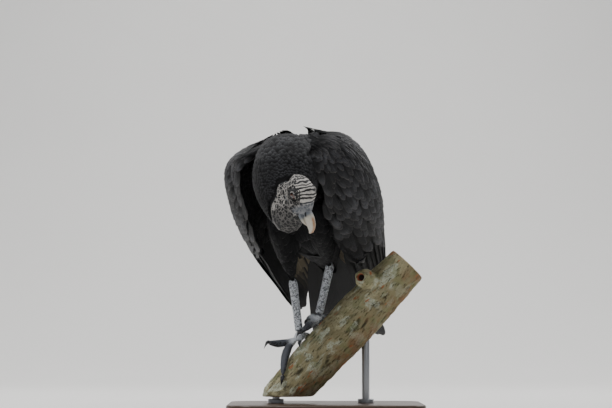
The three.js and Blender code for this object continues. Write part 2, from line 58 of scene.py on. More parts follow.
MM = 0.001
BODY_NAME = "root"  # the one body that every piece rides on
SIDES = {"right": -1, "left": 1}
TOES = ("middle", "outer", "inner", "hind")
FLESH = ["trunk", "neck", "head"]
FLESH += [f"{part}_{side}" for side in SIDES for part in ("thigh", "shank", "foot")]
BARE = ["head"] + [f"{part}_{side}" for side in SIDES for part in ("shank", "foot")]


# ---- arithmetic ----------------------------------------------------------------------


def unit(vectors):
    """Vectors at length 1, the last axis being x, y, z."""
    vectors = np.asarray(vectors, float)
    return vectors / np.maximum(np.linalg.norm(vectors, axis=-1, keepdims=True), 1e-12)


def smoothstep(low, high, value):
    x = np.clip((value - low) / (high - low), 0, 1)
    return x * x * (3 - 2 * x)


def smooth_at(rows, t):
    """Smooth interpolation at every t through rows (t, a, b, ...) sorted by t."""
    table = np.array(rows, float)
    knots, values = table[:, 0], table[:, 1:]
    t = np.asarray(t, float)
    i = np.clip(np.searchsorted(knots, t) - 1, 0, len(knots) - 2)
    before, after = np.maximum(i - 1, 0), np.minimum(i + 2, len(knots) - 1)
    span = (knots[i + 1] - knots[i])[..., None]
    x = np.clip((t - knots[i])[..., None] / span, 0, 1)
    first, last = values[i], values[i + 1]
    start = (last - values[before]) / (knots[i + 1] - knots[before])[..., None] * span
    end = (values[after] - first) / (knots[after] - knots[i])[..., None] * span
    x2, x3 = x * x, x**3
    rise = 3 * x2 - 2 * x3
    return (1 - rise) * first + rise * last + (x3 - 2 * x2 + x) * start + (x3 - x2) * end


class Axes:
    """An origin in millimetres and three directions, in the row frame."""

    def __init__(self, origin, directions):
        self.origin = np.array(origin, float)
        self.directions = unit(directions)

    def point(self, local):
        """A place in metres from millimetres along the three directions."""
        return (self.origin + np.asarray(local, float) @ self.directions) * MM

    def local(self, points):
        """Millimetres along the three directions, of places in metres."""
        return (np.asarray(points) / MM - self.origin) @ self.directions.T


# ---- the bird's own frames -----------------------------------------------------------


def body_axes():
    """Behind the shoulders, to the bird's left, and out of its back."""
    turn, pitch, roll = (math.radians(angle) for angle in (19, 44, 4))
    heading = np.array([-math.sin(turn), -math.cos(turn), 0])
    level = Vector((math.cos(turn), -math.sin(turn), 0))
    back = -heading * math.cos(pitch) - np.array([0, 0, math.sin(pitch)])
    left = np.array(Matrix.Rotation(-roll, 3, Vector(back)) @ level)
    return Axes((-52, -75, 396), [back, left, np.cross(left, back)])


def skull_axes():
    """From the nape to the bill, to the bird's left, and towards the crown."""
    bill = unit((0.31, -0.02, -0.95))
    crown = np.array([0.545, -0.819, 0.178])
    crown = unit(crown - crown @ bill * bill)
    return Axes((-37, -187, 328), [bill, np.cross(crown, bill), crown])


def perch_axes():
    """Up the branch, out of its upper side, and towards its near side."""
    slope = math.radians(46.6)
    climb = (math.cos(slope), 0, math.sin(slope))
    return Axes((-7, 0, 90), [climb, (-climb[2], 0, climb[0]), (0, -1, 0)])


BODY = body_axes()
SKULL = skull_axes()
PERCH = perch_axes()
PERCH_RADIUS = 36


def over_bark(place):
    """Metres from (mm up the slope, degrees to the near side, mm above the bark)."""
    up, turn, above = place
    out = PERCH_RADIUS + above
    angle = math.radians(turn)
    return PERCH.point((up, out * math.cos(angle), out * math.sin(angle)))


# ---- meshes --------------------------------------------------------------------------


def link(mesh, name):
    piece = bpy.data.objects.new(name, mesh)
    bpy.context.scene.collection.objects.link(piece)
    return piece


def from_bmesh(shape, name):
    """A new object from a bmesh, which is freed."""
    mesh = bpy.data.meshes.new(name)
    shape.to_mesh(mesh)
    shape.free()
    return link(mesh, name)


def cad_copy(names, name):
    """One object with copies of CAD nodes, each a closed mesh."""
    shape = bmesh.new()
    for node in names:
        shape.from_mesh(NODES[node].data)
    bmesh.ops.remove_doubles(shape, verts=shape.verts, dist=1e-6)
    return from_bmesh(shape, name)


def applied(piece):
    """The piece with its modifiers applied."""
    graph = bpy.context.evaluated_depsgraph_get()
    mesh = bpy.data.meshes.new_from_object(piece.evaluated_get(graph))
    old = piece.data
    piece.modifiers.clear()
    piece.data = mesh
    bpy.data.meshes.remove(old)
    return piece


def remeshed(piece, voxel, smoothing=0):
    """The piece as one closed skin of small even faces."""
    modifier = piece.modifiers.new("skin", "REMESH")
    modifier.mode = "VOXEL"
    modifier.voxel_size = voxel * MM
    if smoothing:
        smooth = piece.modifiers.new("smooth", "SMOOTH")
        smooth.factor = 0.5
        smooth.iterations = smoothing
    return applied(piece)


def corners(mesh):
    points = np.empty(len(mesh.vertices) * 3, np.float32)
    mesh.vertices.foreach_get("co", points)
    return points.reshape(-1, 3).astype(float)


def normals(mesh):
    found = np.empty(len(mesh.vertices) * 3, np.float32)
    mesh.vertex_normals.foreach_get("vector", found)
    return found.reshape(-1, 3).astype(float)


def move_corners(mesh, points):
    mesh.vertices.foreach_set("co", np.asarray(points, np.float32).ravel())
    mesh.update()


def paint(mesh, name, values):
    """A value, or three, at each vertex under a name that materials read."""
    values = np.asarray(values, np.float32)
    kind, field = ("FLOAT", "value") if values.ndim == 1 else ("FLOAT_VECTOR", "vector")
    attribute = mesh.attributes.new(name, kind, "POINT")
    attribute.data.foreach_set(field, values.ravel())


def finish(piece, replaces=(), materials=(), smooth=True):
    """Rides the piece on the body, materials and replaced nodes."""
    for material in materials:
        piece.data.materials.append(material)
    if smooth:
        piece.data.shade_smooth()
    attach(piece, BODY_NAME)
    if replaces:
        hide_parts(*replaces)
    return piece


def tree_of(names):
    """A search tree over the surfaces of CAD nodes."""
    points, faces = [], []
    for name in names:
        mesh = NODES[name].data
        start = len(points)
        points.extend(vertex.co.copy() for vertex in mesh.vertices)
        faces.extend([start + i for i in face.vertices] for face in mesh.polygons)
    return BVHTree.FromPolygons(points, faces)


def distances(names, points):
    """Each point's distance in millimetres from the surfaces of CAD nodes."""
    tree = tree_of(names)
    return np.array([tree.find_nearest(Vector(point))[3] for point in points]) / MM


# ---- materials -----------------------------------------------------------------------


class Value:
    """An output socket of a material, with arithmetic that adds Math nodes."""

    def __init__(self, finish_of, socket):
        self.surface = finish_of
        self.socket = socket

    def math(self, operation, *values):
        return self.surface.node("Math", {"operation": operation}, *values)

    def __add__(self, other):
        return self.math("ADD", self, other)

    def __sub__(self, other):
        return self.math("SUBTRACT", self, other)

    def __rsub__(self, other):
        return self.math("SUBTRACT", other, self)

    def __mul__(self, other):
        return self.math("MULTIPLY", self, other)

    def __truediv__(self, other):
        return self.math("DIVIDE", self, other)

    def __pow__(self, other):
        return self.math("POWER", self, other)

    __radd__ = __add__
    __rmul__ = __mul__

    def sine(self):
        return self.math("SINE", self)

    def size(self):
        return self.math("ABSOLUTE", self)

    def step(self, low, high):
        """0 below low and 1 above high, with a soft way between; high may be the lower."""
        settings = {"interpolation_type": "SMOOTHSTEP"}
        flip = low > high
        ends = (high, low) if flip else (low, high)
        made = self.surface.node("MapRange", settings, self, *ends)
        return 1 - made if flip else made


class Surface:
    """A material with one Principled shader, and the nodes that feed it."""

    def __init__(self, name, **sockets):
        self.material = bpy.data.materials.new(name)
        self.material.use_nodes = True
        self.tree = self.material.node_tree
        self.shader = self.tree.nodes["Principled BSDF"]
        for socket, value in sockets.items():
            self.shader.inputs[socket.replace("_", " ")].default_value = value

    def node(self, kind, settings=(), *values, output=0, **named):
        """A node from its settings and its sockets' values or links, as a Value."""
        made = self.tree.nodes.new(f"ShaderNode{kind}")
        for setting, value in dict(settings).items():
            if setting == "stops":
                self.set_stops(made.color_ramp, value)
            else:
                setattr(made, setting, value)
        sockets = [(made.inputs[i], value) for i, value in enumerate(values)]
        sockets += [(made.inputs[key], value) for key, value in named.items()]
        for socket, value in sockets:
            self.feed(socket, value)
        return Value(self, made.outputs[output])

    def feed(self, socket, value):
        if isinstance(value, Value):
            self.tree.links.new(value.socket, socket)
        elif value is not None:
            socket.default_value = value

    @staticmethod
    def set_stops(ramp, stops):
        while len(ramp.elements) < len(stops):
            ramp.elements.new(0.5)
        for element, (place, colour) in zip(ramp.elements, stops):
            element.position = place
            element.color = (*colour, 1)

    def attribute(self, name, output=2):
        return self.node("Attribute", {"attribute_name": name}, output=output)

    def split(self, vector):
        """The three parts of a vector, as Values."""
        made = self.tree.nodes.new("ShaderNodeSeparateXYZ")
        self.feed(made.inputs[0], vector)
        return [Value(self, socket) for socket in made.outputs]

    def place(self, scale=1.0, stretch=(1, 1, 1), turn=(0, 0, 0)):
        """Object coordinates, turned and then stretched; a scale of 1000 makes them mm."""
        found = self.node("TexCoord", output="Object")
        size = tuple(scale * share for share in stretch)
        return self.node("Mapping", {"vector_type": "TEXTURE"}, found, None, turn, tuple(
            1 / share for share in size
        ))

    def noise(self, place, scale, detail=3.0, roughness=0.55):
        return self.node(
            "TexNoise", {}, Vector=place, Scale=scale, Detail=detail, Roughness=roughness
        )

    def cells(self, place, scale, feature="F1"):
        settings = {"feature": feature}
        return self.node("TexVoronoi", settings, Vector=place, Scale=scale)

    def mix(self, first, second, share):
        """Colours mixed by a share."""
        made = self.tree.nodes.new("ShaderNodeMix")
        made.data_type = "RGBA"
        for socket, value in ((0, share), (6, first), (7, second)):
            rgba = (*value, 1) if isinstance(value, (tuple, list)) else value
            self.feed(made.inputs[socket], rgba)
        return Value(self, made.outputs[2])

    def finish(self, colour=None, roughness=None, bump=(), **others):
        """Feeds the shader; bump is a list of (height Value, distance in mm)."""
        if colour is not None:
            self.feed(self.shader.inputs["Base Color"], colour)
        if roughness is not None:
            self.feed(self.shader.inputs["Roughness"], roughness)
        for socket, value in others.items():
            self.feed(self.shader.inputs[socket.replace("_", " ")], value)
        below = None
        for height, distance in bump:
            below = self.node(
                "Bump", {}, Height=height, Distance=distance * MM, Normal=below
            )
        if below is not None:
            self.feed(self.shader.inputs["Normal"], below)
        return self.material


def colour_of(value):
    return tuple(value)


# ---- settings ------------------------------------------------------------------------


def tint(name, description, value):
    return FloatVectorProperty(
        name=name, description=description, subtype="COLOR", size=3, min=0, max=1, default=value
    )


class VulturePlumage(bpy.types.PropertyGroup):
    dark: tint("Feather", "Colour of a feather's middle", (0.0065, 0.0066, 0.0074))
    rim: tint("Rim", "Colour of a feather's worn rim", (0.075, 0.068, 0.064))
    shaft: tint("Shaft", "Colour of the shafts under the wing tips", (0.42, 0.36, 0.26))
    under: tint("Under side", "Colour of the flight feathers' under sides", (0.34, 0.29, 0.20))
    depth: FloatProperty(
        name="Coat depth",
        description="How far the skin lies inside the feathers",
        subtype="DISTANCE",
        unit="LENGTH",
        default=4 * MM,
    )
    seed: IntProperty(name="Seed", description="Start of the random draws", default=7)


class VultureSkin(bpy.types.PropertyGroup):
    # the groove colour is partly painted shade in the creases of the bare head
    groove: tint("Groove", "Colour between the folds of the bare head", (0.012, 0.012, 0.013))
    ridge: tint("Ridge", "Colour of the folds of the bare head", (0.60, 0.59, 0.56))
    shank: tint("Shank", "Colour of the bare shanks", (0.72, 0.75, 0.79))
    toe: tint("Toe", "Colour of the toes", (0.075, 0.08, 0.095))
    iris: tint("Iris", "Colour of the iris", (0.035, 0.010, 0.007))
    horn: tint("Horn", "Colour of the bill's tip", (0.62, 0.56, 0.44))
    slate: tint("Slate", "Colour of the bill's base", (0.20, 0.22, 0.25))


class VultureStand(bpy.types.PropertyGroup):
    bark: tint("Bark", "Main colour of the bark", (0.27, 0.235, 0.13))
    lichen: tint("Lichen", "Colour of the lichen patches", (0.52, 0.55, 0.43))
    wood: tint("Wood", "Colour of the base", (0.052, 0.028, 0.016))
    steel: tint("Steel", "Colour of the rods", (0.55, 0.56, 0.58))


class VultureStage(bpy.types.PropertyGroup):
    floor: tint("Floor", "Colour of the floor", (0.84, 0.83, 0.81))
    distance: FloatProperty(
        name="Distance",
        description="From the camera to the bird",
        subtype="DISTANCE",
        unit="LENGTH",
        default=3.0,
    )
    pixel: FloatProperty(
        name="Pixel",
        description="Width of one pixel of the picture at the bird",
        subtype="DISTANCE",
        unit="LENGTH",
        default=1.55 * MM,
    )
    key: FloatProperty(name="Key light", description="Power of the key light", default=44)


# ---- stage ---------------------------------------------------------------------------

IMAGE_WIDTH = 612
SENSOR = 36.0  # millimetres
CAMERA_TARGET = (-30, 0, 325)
CAMERA_RISE = 4.0  # degrees that the camera looks up


def make_camera(settings):
    camera = bpy.data.cameras.new("camera")
    camera.sensor_width = SENSOR
    camera.lens = SENSOR * settings.distance / (settings.pixel * IMAGE_WIDTH)
    camera.clip_end = 50
    holder = bpy.data.objects.new("camera", camera)
    bpy.context.scene.collection.objects.link(holder)
    rise = math.radians(CAMERA_RISE)
    ahead = Vector((0, math.cos(rise), math.sin(rise)))
    holder.location = Vector(CAMERA_TARGET) * MM - ahead * settings.distance
    holder.rotation_euler = (math.pi / 2 + rise, 0, 0)
    bpy.context.scene.camera = holder


def make_light(name, place, power, size, aim=(-0.02, -0.03, 0.27)):
    light = bpy.data.lights.new(name, "AREA")
    light.energy = power
    light.size = size
    holder = bpy.data.objects.new(name, light)
    bpy.context.scene.collection.objects.link(holder)
    holder.location = place
    holder.rotation_euler = (Vector(aim) - Vector(place)).to_track_quat("-Z", "Y").to_euler()


def make_floor(settings):
    """A floor that rises in a smooth sweep far behind the model."""
    shape = bmesh.new()
    half, near, far, radius, top = 9.0, -9.0, 3.5, 1.6, 6.0
    line = [(near, 0), (far - radius, 0)]
    for step in range(1, 13):
        angle = math.pi / 2 * step / 12
        line.append((far - radius + radius * math.sin(angle), radius - radius * math.cos(angle)))
    line.append((far, top))
    verts = [shape.verts.new((-half, y, z)) for y, z in line]
    edges = [shape.edges.new(pair) for pair in zip(verts, verts[1:])]
    made = bmesh.ops.extrude_edge_only(shape, edges=edges)["geom"]
    moved = [item for item in made if isinstance(item, bmesh.types.BMVert)]
    bmesh.ops.translate(shape, verts=moved, vec=(2 * half, 0, 0))
    bmesh.ops.recalc_face_normals(shape, faces=shape.faces)
    floor = from_bmesh(shape, "stage_floor")
    floor.data.shade_smooth()
    surface = Surface("floor", Roughness=0.7, Specular_IOR_Level=0.2)
    grain = surface.noise(surface.place(), 3.0)
    tone = colour_of(settings.floor)
    darker = tuple(part * 0.96 for part in tone)
    floor.data.materials.append(surface.finish(surface.mix(darker, tone, grain)))


class VULTURE_OT_stage(bpy.types.Operator):
    """Camera, floor and studio light"""

    bl_idname = "vulture.stage"
    bl_label = "Stage"

    def execute(self, context):
        settings = context.scene.vulture_stage
        make_camera(settings)
        make_floor(settings)
        key = settings.key
        make_light("key", (-0.8, -1.0, 2.7), key * 1.25, 1.0)
        make_light("fill", (1.6, -2.2, 1.5), key * 0.14, 0.9)
        make_light("rim_left", (-1.7, 1.2, 2.1), key * 0.6, 1.2)
        make_light("rim_right", (1.7, 1.3, 2.1), key * 0.8, 1.2)
        make_light("backdrop", (0.0, 0.9, 3.2), key * 1.6, 2.0, aim=(0.0, 3.4, 1.0))
        world = bpy.data.worlds.new("studio")
        world.use_nodes = True
        background = world.node_tree.nodes["Background"]
        background.inputs["Color"].default_value = (0.86, 0.90, 0.95, 1)
        background.inputs["Strength"].default_value = 0.14
        context.scene.world = world
        return {"FINISHED"}


# ---- skin ----------------------------------------------------------------------------

CREASE_REACH = 7.0  # millimetres of reach over a crease of the head
FINE_VOXEL = 1.1  # millimetres between the skin's vertices on the bare parts
HIDE_VOXEL = 4.0  # and on the plain form that feathers are laid over
ARM_LOW = 190  # height under which the wings have no flesh
ARM_END = 190  # millimetres behind the shoulders where the fleshy wing is cut
EYE = {"along": 0, "side": 15.2, "up": 4.5, "radius": 7.0}


def arm(side):
    """The thick front part of a folded wing, as a closed mesh."""
    piece = cad_copy([f"wing_{side}"], f"arm_{side}")
    shape = bmesh.new()
    shape.from_mesh(piece.data)
    cut = bmesh.ops.bisect_plane(
        shape,
        geom=[*shape.verts, *shape.edges, *shape.faces],
        plane_co=Vector(BODY.point((ARM_END, 0, 0))),
        plane_no=Vector(BODY.directions[0]),
        clear_outer=True,
    )["geom_cut"]
    rim = [item for item in cut if isinstance(item, bmesh.types.BMEdge)]
    bmesh.ops.holes_fill(shape, edges=rim)
    shape.to_mesh(piece.data)
    shape.free()
    return piece


def flesh(name):
    """All of the flesh as one object of closed parts."""
    whole = cad_copy(FLESH, name)
    shape = bmesh.new()
    shape.from_mesh(whole.data)
    for side in SIDES:
        part = arm(side)
        shape.from_mesh(part.data)
        bpy.data.objects.remove(part)
    shape.to_mesh(whole.data)
    shape.free()
    return whole


class Hide:
    """The bird's plain outer form: where feathers root, how they lie, and its unwrap."""

    def __init__(self):
        piece = remeshed(flesh("hide"), HIDE_VOXEL, smoothing=6)
        bpy.context.view_layer.objects.active = piece
        piece.select_set(True)
        bpy.ops.object.mode_set(mode="EDIT")
        bpy.ops.mesh.select_all(action="SELECT")
        bpy.ops.uv.smart_project(angle_limit=math.radians(66), island_margin=0.002)
        bpy.ops.object.mode_set(mode="OBJECT")
        mesh = piece.data
        self.points = corners(mesh)
        self.normals = normals(mesh)
        self.faces = np.array([list(face.vertices) for face in mesh.polygons])
        unwrap = np.empty(len(mesh.loops) * 2, np.float32)
        mesh.uv_layers.active.data.foreach_get("uv", unwrap)
        self.unwrap = unwrap.reshape(-1, 4, 2).mean(axis=1)
        self.tree = BVHTree.FromPolygons(self.points.tolist(), self.faces.tolist())
        self.ends = KDTree(len(self.points))
        for i, point in enumerate(self.points):
            self.ends.insert(point, i)
        self.ends.balance()
        bpy.data.objects.remove(piece)

    def nearest(self, points):
        """The nearest places on the form, with smooth normals and face numbers."""
        places, outward, faces = [], [], []
        for point in points:
            place, _, face, _ = self.tree.find_nearest(Vector(point))
            near = self.ends.find_n(place, 4)
            mean = sum((self.normals[i] / (apart + 1e-4) for _, i, apart in near), np.zeros(3))
            places.append(place)
            outward.append(mean)
            faces.append(face)
        return np.array(places), unit(outward), np.array(faces)


@lru_cache(maxsize=1)
def hide():
    return Hide()


# Lines along which the coat lies, from the head to the tail and down the legs.
NECK_LINE = [(-58, -134, 270), (-60, -130, 316), (-60, -118, 358), (-54, -84, 385), (-46, -44, 362)]
ANKLES = {"right": (-50, 17, 203), "left": (7, 30, 228)}
HIPS = {side: (118, 20 * sign, 6) for side, sign in SIDES.items()}
KNEES = {side: (84, 31 * sign, -40) for side, sign in SIDES.items()}


def lie_lines():
    lines = [np.array(NECK_LINE) * MM]
    for height in (-40, 0, 45):
        lines.append(BODY.point([(20, 0, height), (130, 0, height), (260, 0, height * 0.4)]))
    for side in SIDES:
        knee = BODY.point(KNEES[side])
        lines.append(np.array([BODY.point(HIPS[side]), knee, np.array(ANKLES[side]) * MM]))
    return lines


@lru_cache(maxsize=1)
def lie_samples():
    """Places and directions along the lie's lines, a few millimetres apart."""
    places, ways = [], []
    for line in lie_lines():
        for start, end in zip(line, line[1:]):
            steps = max(int(np.linalg.norm(end - start) / (6 * MM)), 1)
            for share in (np.arange(steps) + 0.5) / steps:
                places.append(start + (end - start) * share)
                ways.append(unit(end - start))
    return np.array(places), np.array(ways)


LIE_POWER = 5  # how strongly the nearest line decides


def lie_at(points):
    """The way that the coat lies at each point."""
    places, ways = lie_samples()
    apart = np.linalg.norm(points[:, None] - places[None], axis=2) + 4 * MM
    weight = (10 * MM / apart) ** LIE_POWER
    return unit(weight @ ways)


def eye_places():
    """Each eye's centre in metres and the way that it looks."""
    found = []
    for sign in SIDES.values():
        centre = SKULL.point((EYE["along"], sign * EYE["side"], EYE["up"]))
        way = unit(np.array((0.34, sign * 0.9, 0.1)) @ SKULL.directions)
        found.append((centre, way))
    return found


LID_RISE = 1.0  # of the lids over the eyeball
APERTURE = (5.2, 4.3)  # half width and half height of the opening between the lids


def add_lids(points, outward):
    """Moves the skin round each eye into lids, and behind the eyeball inside them."""
    ridge = np.zeros(len(points))
    dark = np.zeros(len(points))
    radius = EYE["radius"]
    for centre, way in eye_places():
        along = unit(SKULL.directions[0] - SKULL.directions[0] @ way * way)
        rise = np.cross(way, along)
        rise *= np.sign(rise @ SKULL.directions[2])
        offset = (points - centre) / MM
        x, y, deep = offset @ along, offset @ rise, offset @ way
        near = (np.hypot(x, y) < 3 * radius) & (deep > -2)
        ring = np.hypot(x / APERTURE[0], (y + 0.12 * x) / APERTURE[1])
        across = np.minimum(np.hypot(x, y), radius * 0.98)
        ball = np.sqrt(radius**2 - across**2)
        lid = (1 - smoothstep(1.35, 2.0, ring)) * near
        goal = ball + LID_RISE * (1 - 0.5 * smoothstep(1.1, 1.7, ring))
        inside = (1 - smoothstep(0.92, 1.06, ring)) * near
        goal = goal * (1 - inside) + inside * (ball - 3.5)
        points += ((goal - deep) * lid)[:, None] * way * MM
        for fold, depth in ((1.75, 0.55), (2.15, 0.6), (2.6, 0.45)):
            groove = np.exp(-(((ring - fold) / 0.11) ** 2)) * near
            points -= (groove * depth * MM)[:, None] * outward
            dark = np.maximum(dark, groove)
        rim = np.exp(-(((ring - 1.18) / 0.14) ** 2)) * near
        ridge = np.maximum(ridge, rim * 0.35)
        dark = np.maximum(dark, lid * 0.55)
    return ridge, dark


def cell_edges(place):
    """1 on the borders between random cells and 0 inside them."""
    apart = noise.voronoi(place)[0]
    return 1 - float(smoothstep(0.06, 0.34, apart[1] - apart[0]))


def head_folds(local, amount):
    """Heights from 0 to 1 of the folds of the bare head, at places in skull millimetres."""
    folds = np.zeros(len(local))
    for i in np.nonzero(amount > 0.01)[0]:
        along, aside, above = local[i]
        warp = noise.noise_vector(Vector(local[i]) * 0.11) * 3.2
        fine = noise.noise_vector(Vector(local[i]) * 0.42) * 0.7
        bent = Vector(local[i]) + warp + fine
        crown = smoothstep(3, 12, above - 0.25 * abs(aside)) * smoothstep(-26, -12, along)
        crown *= 1 - smoothstep(17, 24, along)
        wave = 0.5 + 0.5 * math.cos(2 * math.pi * (bent.x + 0.12 * abs(aside)) / 4.9)
        furrow = 1 - (1 - wave) ** 2
        net = cell_edges(Vector((bent.x * 0.75, bent.y, bent.z)) / 4.7)
        small = cell_edges(bent / 2.1 + Vector((9, 3, 5)))
        net = max(net, 0.45 * small)
        folds[i] = net * (1 - crown) + crown * furrow * (0.75 + 0.25 * small)
    return folds * amount


def scale_heights(points, apart):
    """Heights from 0 to 1 of small scales, high inside and low at their borders."""
    return np.array([1 - cell_edges(Vector(point) / (apart * MM)) for point in points])


LEG_FILL = 1.1  # millimetres that the remeshing takes off the thin legs
SHANK_LEAST = 6.3  # radius in millimetres


def fill_shank(points, side):
    """Moves the points of a shank out to its least radius."""
    low, high = over_bark(SHANK_JOINTS[side]), np.array(ANKLES[side]) * MM
    line = high - low
    share = (points - low) @ line / (line @ line)
    foot = low + share[:, None] * line
    offset = points - foot
    apart = np.linalg.norm(offset, axis=1) / MM
    beside = distances([f"foot_{side}"], points) - distances([f"shank_{side}"], points)
    amount = smoothstep(-1.5, 1.5, beside) * (apart < 12) * (share > 0.02) * (share < 0.95)
    grow = np.maximum(SHANK_LEAST / np.maximum(apart, 1), 1)
    points += offset * ((grow - 1) * amount)[:, None]


SHANK_JOINTS = {"right": (0, -4, 9), "left": (39, -16, 8.5)}
TOE_PATHS = {
    "right": {
        "middle": [(-3, -2, 8.5), (-20, 4, 10.5), (-35, 22, 8.5), (-50, 42, 6.5), (-62, 59, 6)],
        "outer": [(-3, -4, 9), (-17, 0, 14), (-30, 6, 24), (-37, 14, 34), (-39, 22, 42)],
        "inner": [(0, 0, 9), (-2, 12, 8), (-6, 22, 5.5)],
        "hind": [(1, -10, 8), (7, -26, 7), (13, -44, 5.5)],
    },
    "left": {
        "middle": [(36, -14, 8.5), (27, -3, 9), (16, 9, 11), (7, 17, 13)],
        "outer": [(38, -18, 9), (44, -30, 8), (52, -42, 7), (58, -52, 6)],
        "inner": [(38, -20, 9), (37, -24, 16), (31, -24, 22), (25, -22, 22)],
        "hind": [(38, -22, 8), (37, -38, 7), (35, -54, 5.5)],
    },
}


def along_lines(points, lines):
    """For each point, its way along the nearest of the lines, its distance and foot."""
    best = np.full(len(points), np.inf)
    length = np.zeros(len(points))
    foot = np.zeros((len(points), 3))
    for line in lines:
        run = 0.0
        for start, end in zip(line, line[1:]):
            way = end - start
            size = np.linalg.norm(way)
            share = np.clip((points - start) @ way / size**2, 0, 1)
            place = start + share[:, None] * way
            apart = np.linalg.norm(points - place, axis=1)
            closer = apart < best
            best[closer] = apart[closer]
            length[closer] = (run + share * size)[closer]
            foot[closer] = place[closer]
            run += size
    return length / MM, best / MM, foot


SCUTE = 2.7  # millimetres of toe that one scute covers


def toe_scutes(points, outward):
    """Heights from 0 to 1 of the scutes over the toes, and the distance along a toe."""
    lines = [
        np.array([over_bark(place) for place in path])
        for paths in TOE_PATHS.values()
        for path in paths.values()
    ]
    length, _, foot = along_lines(points, lines)
    share = np.mod(length / SCUTE, 1)
    plate = 1 - np.abs(2 * share - 1) ** 6
    bark = PERCH.directions
    above = unit(points - foot) @ bark[1]
    top = smoothstep(-0.35, 0.2, above)
    pads = scale_heights(points, 1.5)
    return plate * top + pads * (1 - top), length


FINE_EDGE = 0.85  # millimetres between vertices on the head and feet


def thin_out(piece):
    """Fewer faces where feathers cover the skin, and finer ones on the bare head."""
    points = corners(piece.data)
    group = piece.vertex_groups.new(name="covered")
    head = np.linalg.norm(points - SKULL.point((2, 0, -8)), axis=1) / MM
    leg_lines = [
        np.array([np.array(ANKLES[side]) * MM, over_bark(SHANK_JOINTS[side])])
        for side in SIDES
    ]
    toe_lines = [
        np.array([over_bark(place) for place in path])
        for paths in TOE_PATHS.values()
        for path in paths.values()
    ]
    legs = along_lines(points, leg_lines + toe_lines)[1]
    covered = (head > 62) & (legs > 16)
    group.add(np.nonzero(covered)[0].tolist(), 1.0, "REPLACE")
    modifier = piece.modifiers.new("thin", "DECIMATE")
    modifier.vertex_group = "covered"
    modifier.ratio = 1 - 0.93 * covered.mean()
    applied(piece)
    shape = bmesh.new()
    shape.from_mesh(piece.data)
    centre = Vector(SKULL.point((2, 0, -6)))
    reach = 50 * MM
    edges = [edge for edge in shape.edges if (edge.verts[0].co - centre).length < reach]
    bmesh.ops.subdivide_edges(shape, edges=edges, cuts=1, use_grid_fill=True)
    shape.to_mesh(piece.data)
    shape.free()
    piece.vertex_groups.clear()


def filled_head():
    """The head with the creases between its parts filled, as loose skin spans them."""
    piece = cad_copy(["head"], "filled_head")
    for way in (CREASE_REACH, -CREASE_REACH):
        piece = remeshed(piece, 1.6, smoothing=3)
        mesh = piece.data
        move_corners(mesh, corners(mesh) + way * MM * normals(mesh))
    return remeshed(piece, 1.6, smoothing=2)


def make_skin(plumage, skin):
    """One closed skin: feathered inside the coat, folded on the head, scaled on the legs."""
    whole, head = flesh("skin"), filled_head()
    shape = bmesh.new()
    shape.from_mesh(whole.data)
    shape.from_mesh(head.data)
    bpy.data.objects.remove(head)
    shape.to_mesh(whole.data)
    shape.free()
    piece = remeshed(whole, FINE_VOXEL, smoothing=4)
    thin_out(piece)
    mesh = piece.data
    points, outward = corners(mesh), normals(mesh)
    feathered = [node for node in FLESH if node not in BARE]
    to_wings = distances([f"wing_{side}" for side in SIDES], points)
    to_wings[points[:, 2] < ARM_LOW * MM] = 100  # their tips pass close to the shanks
    to_feathers = np.minimum(distances(feathered, points), to_wings)
    to_bare = distances(BARE, points)
    bare = smoothstep(-1.5, 1.5, to_feathers - to_bare)
    to_head = distances(["head"], points)
    on_head = bare * (1 - smoothstep(1.5, 4, to_head))
    on_legs = bare * (1 - on_head)
    depth = plumage.depth / MM
    points -= ((1 - bare) * depth * MM)[:, None] * outward
    local = SKULL.local(points)
    folds = head_folds(local, on_head)
    lore = np.exp(-(((local[:, 0] - 20) / 5) ** 2 + ((local[:, 2] + 4) / 7) ** 2))
    height = 0.95 * (folds - 0.5) * (1 - 0.5 * lore) * on_head
    feet = distances([f"foot_{side}" for side in SIDES], points)
    on_feet = on_legs * (1 - smoothstep(0.5, 3, feet))
    points += (LEG_FILL * MM * on_legs)[:, None] * outward
    for side in SIDES:
        fill_shank(points, side)
    legs = np.nonzero(on_legs > 0.01)[0]
    scales, run = np.zeros(len(points)), np.zeros(len(points))
    plates, run[legs] = toe_scutes(points[legs], outward[legs])
    small = scale_heights(points[legs], 2.3)
    scales[legs] = plates * on_feet[legs] + small * (1 - on_feet[legs])
    height += 0.34 * (scales - 0.7) * on_legs
    points += (height * MM)[:, None] * outward
    lid_ridge, lid_dark = add_lids(points, outward)
    move_corners(mesh, points)
    paint(mesh, "zones", np.stack([on_head, on_legs, on_feet], axis=1))
    folds = np.clip(folds * (1 - 0.8 * lid_dark) + lid_ridge, 0, 1)
    paint(mesh, "relief", np.stack([folds, scales, run / 60], axis=1))
    paint(mesh, "skull", local)
    replaced = FLESH + [f"wing_{side}" for side in SIDES]
    finish(piece, replaced, [skin_material(plumage, skin)])
    return piece


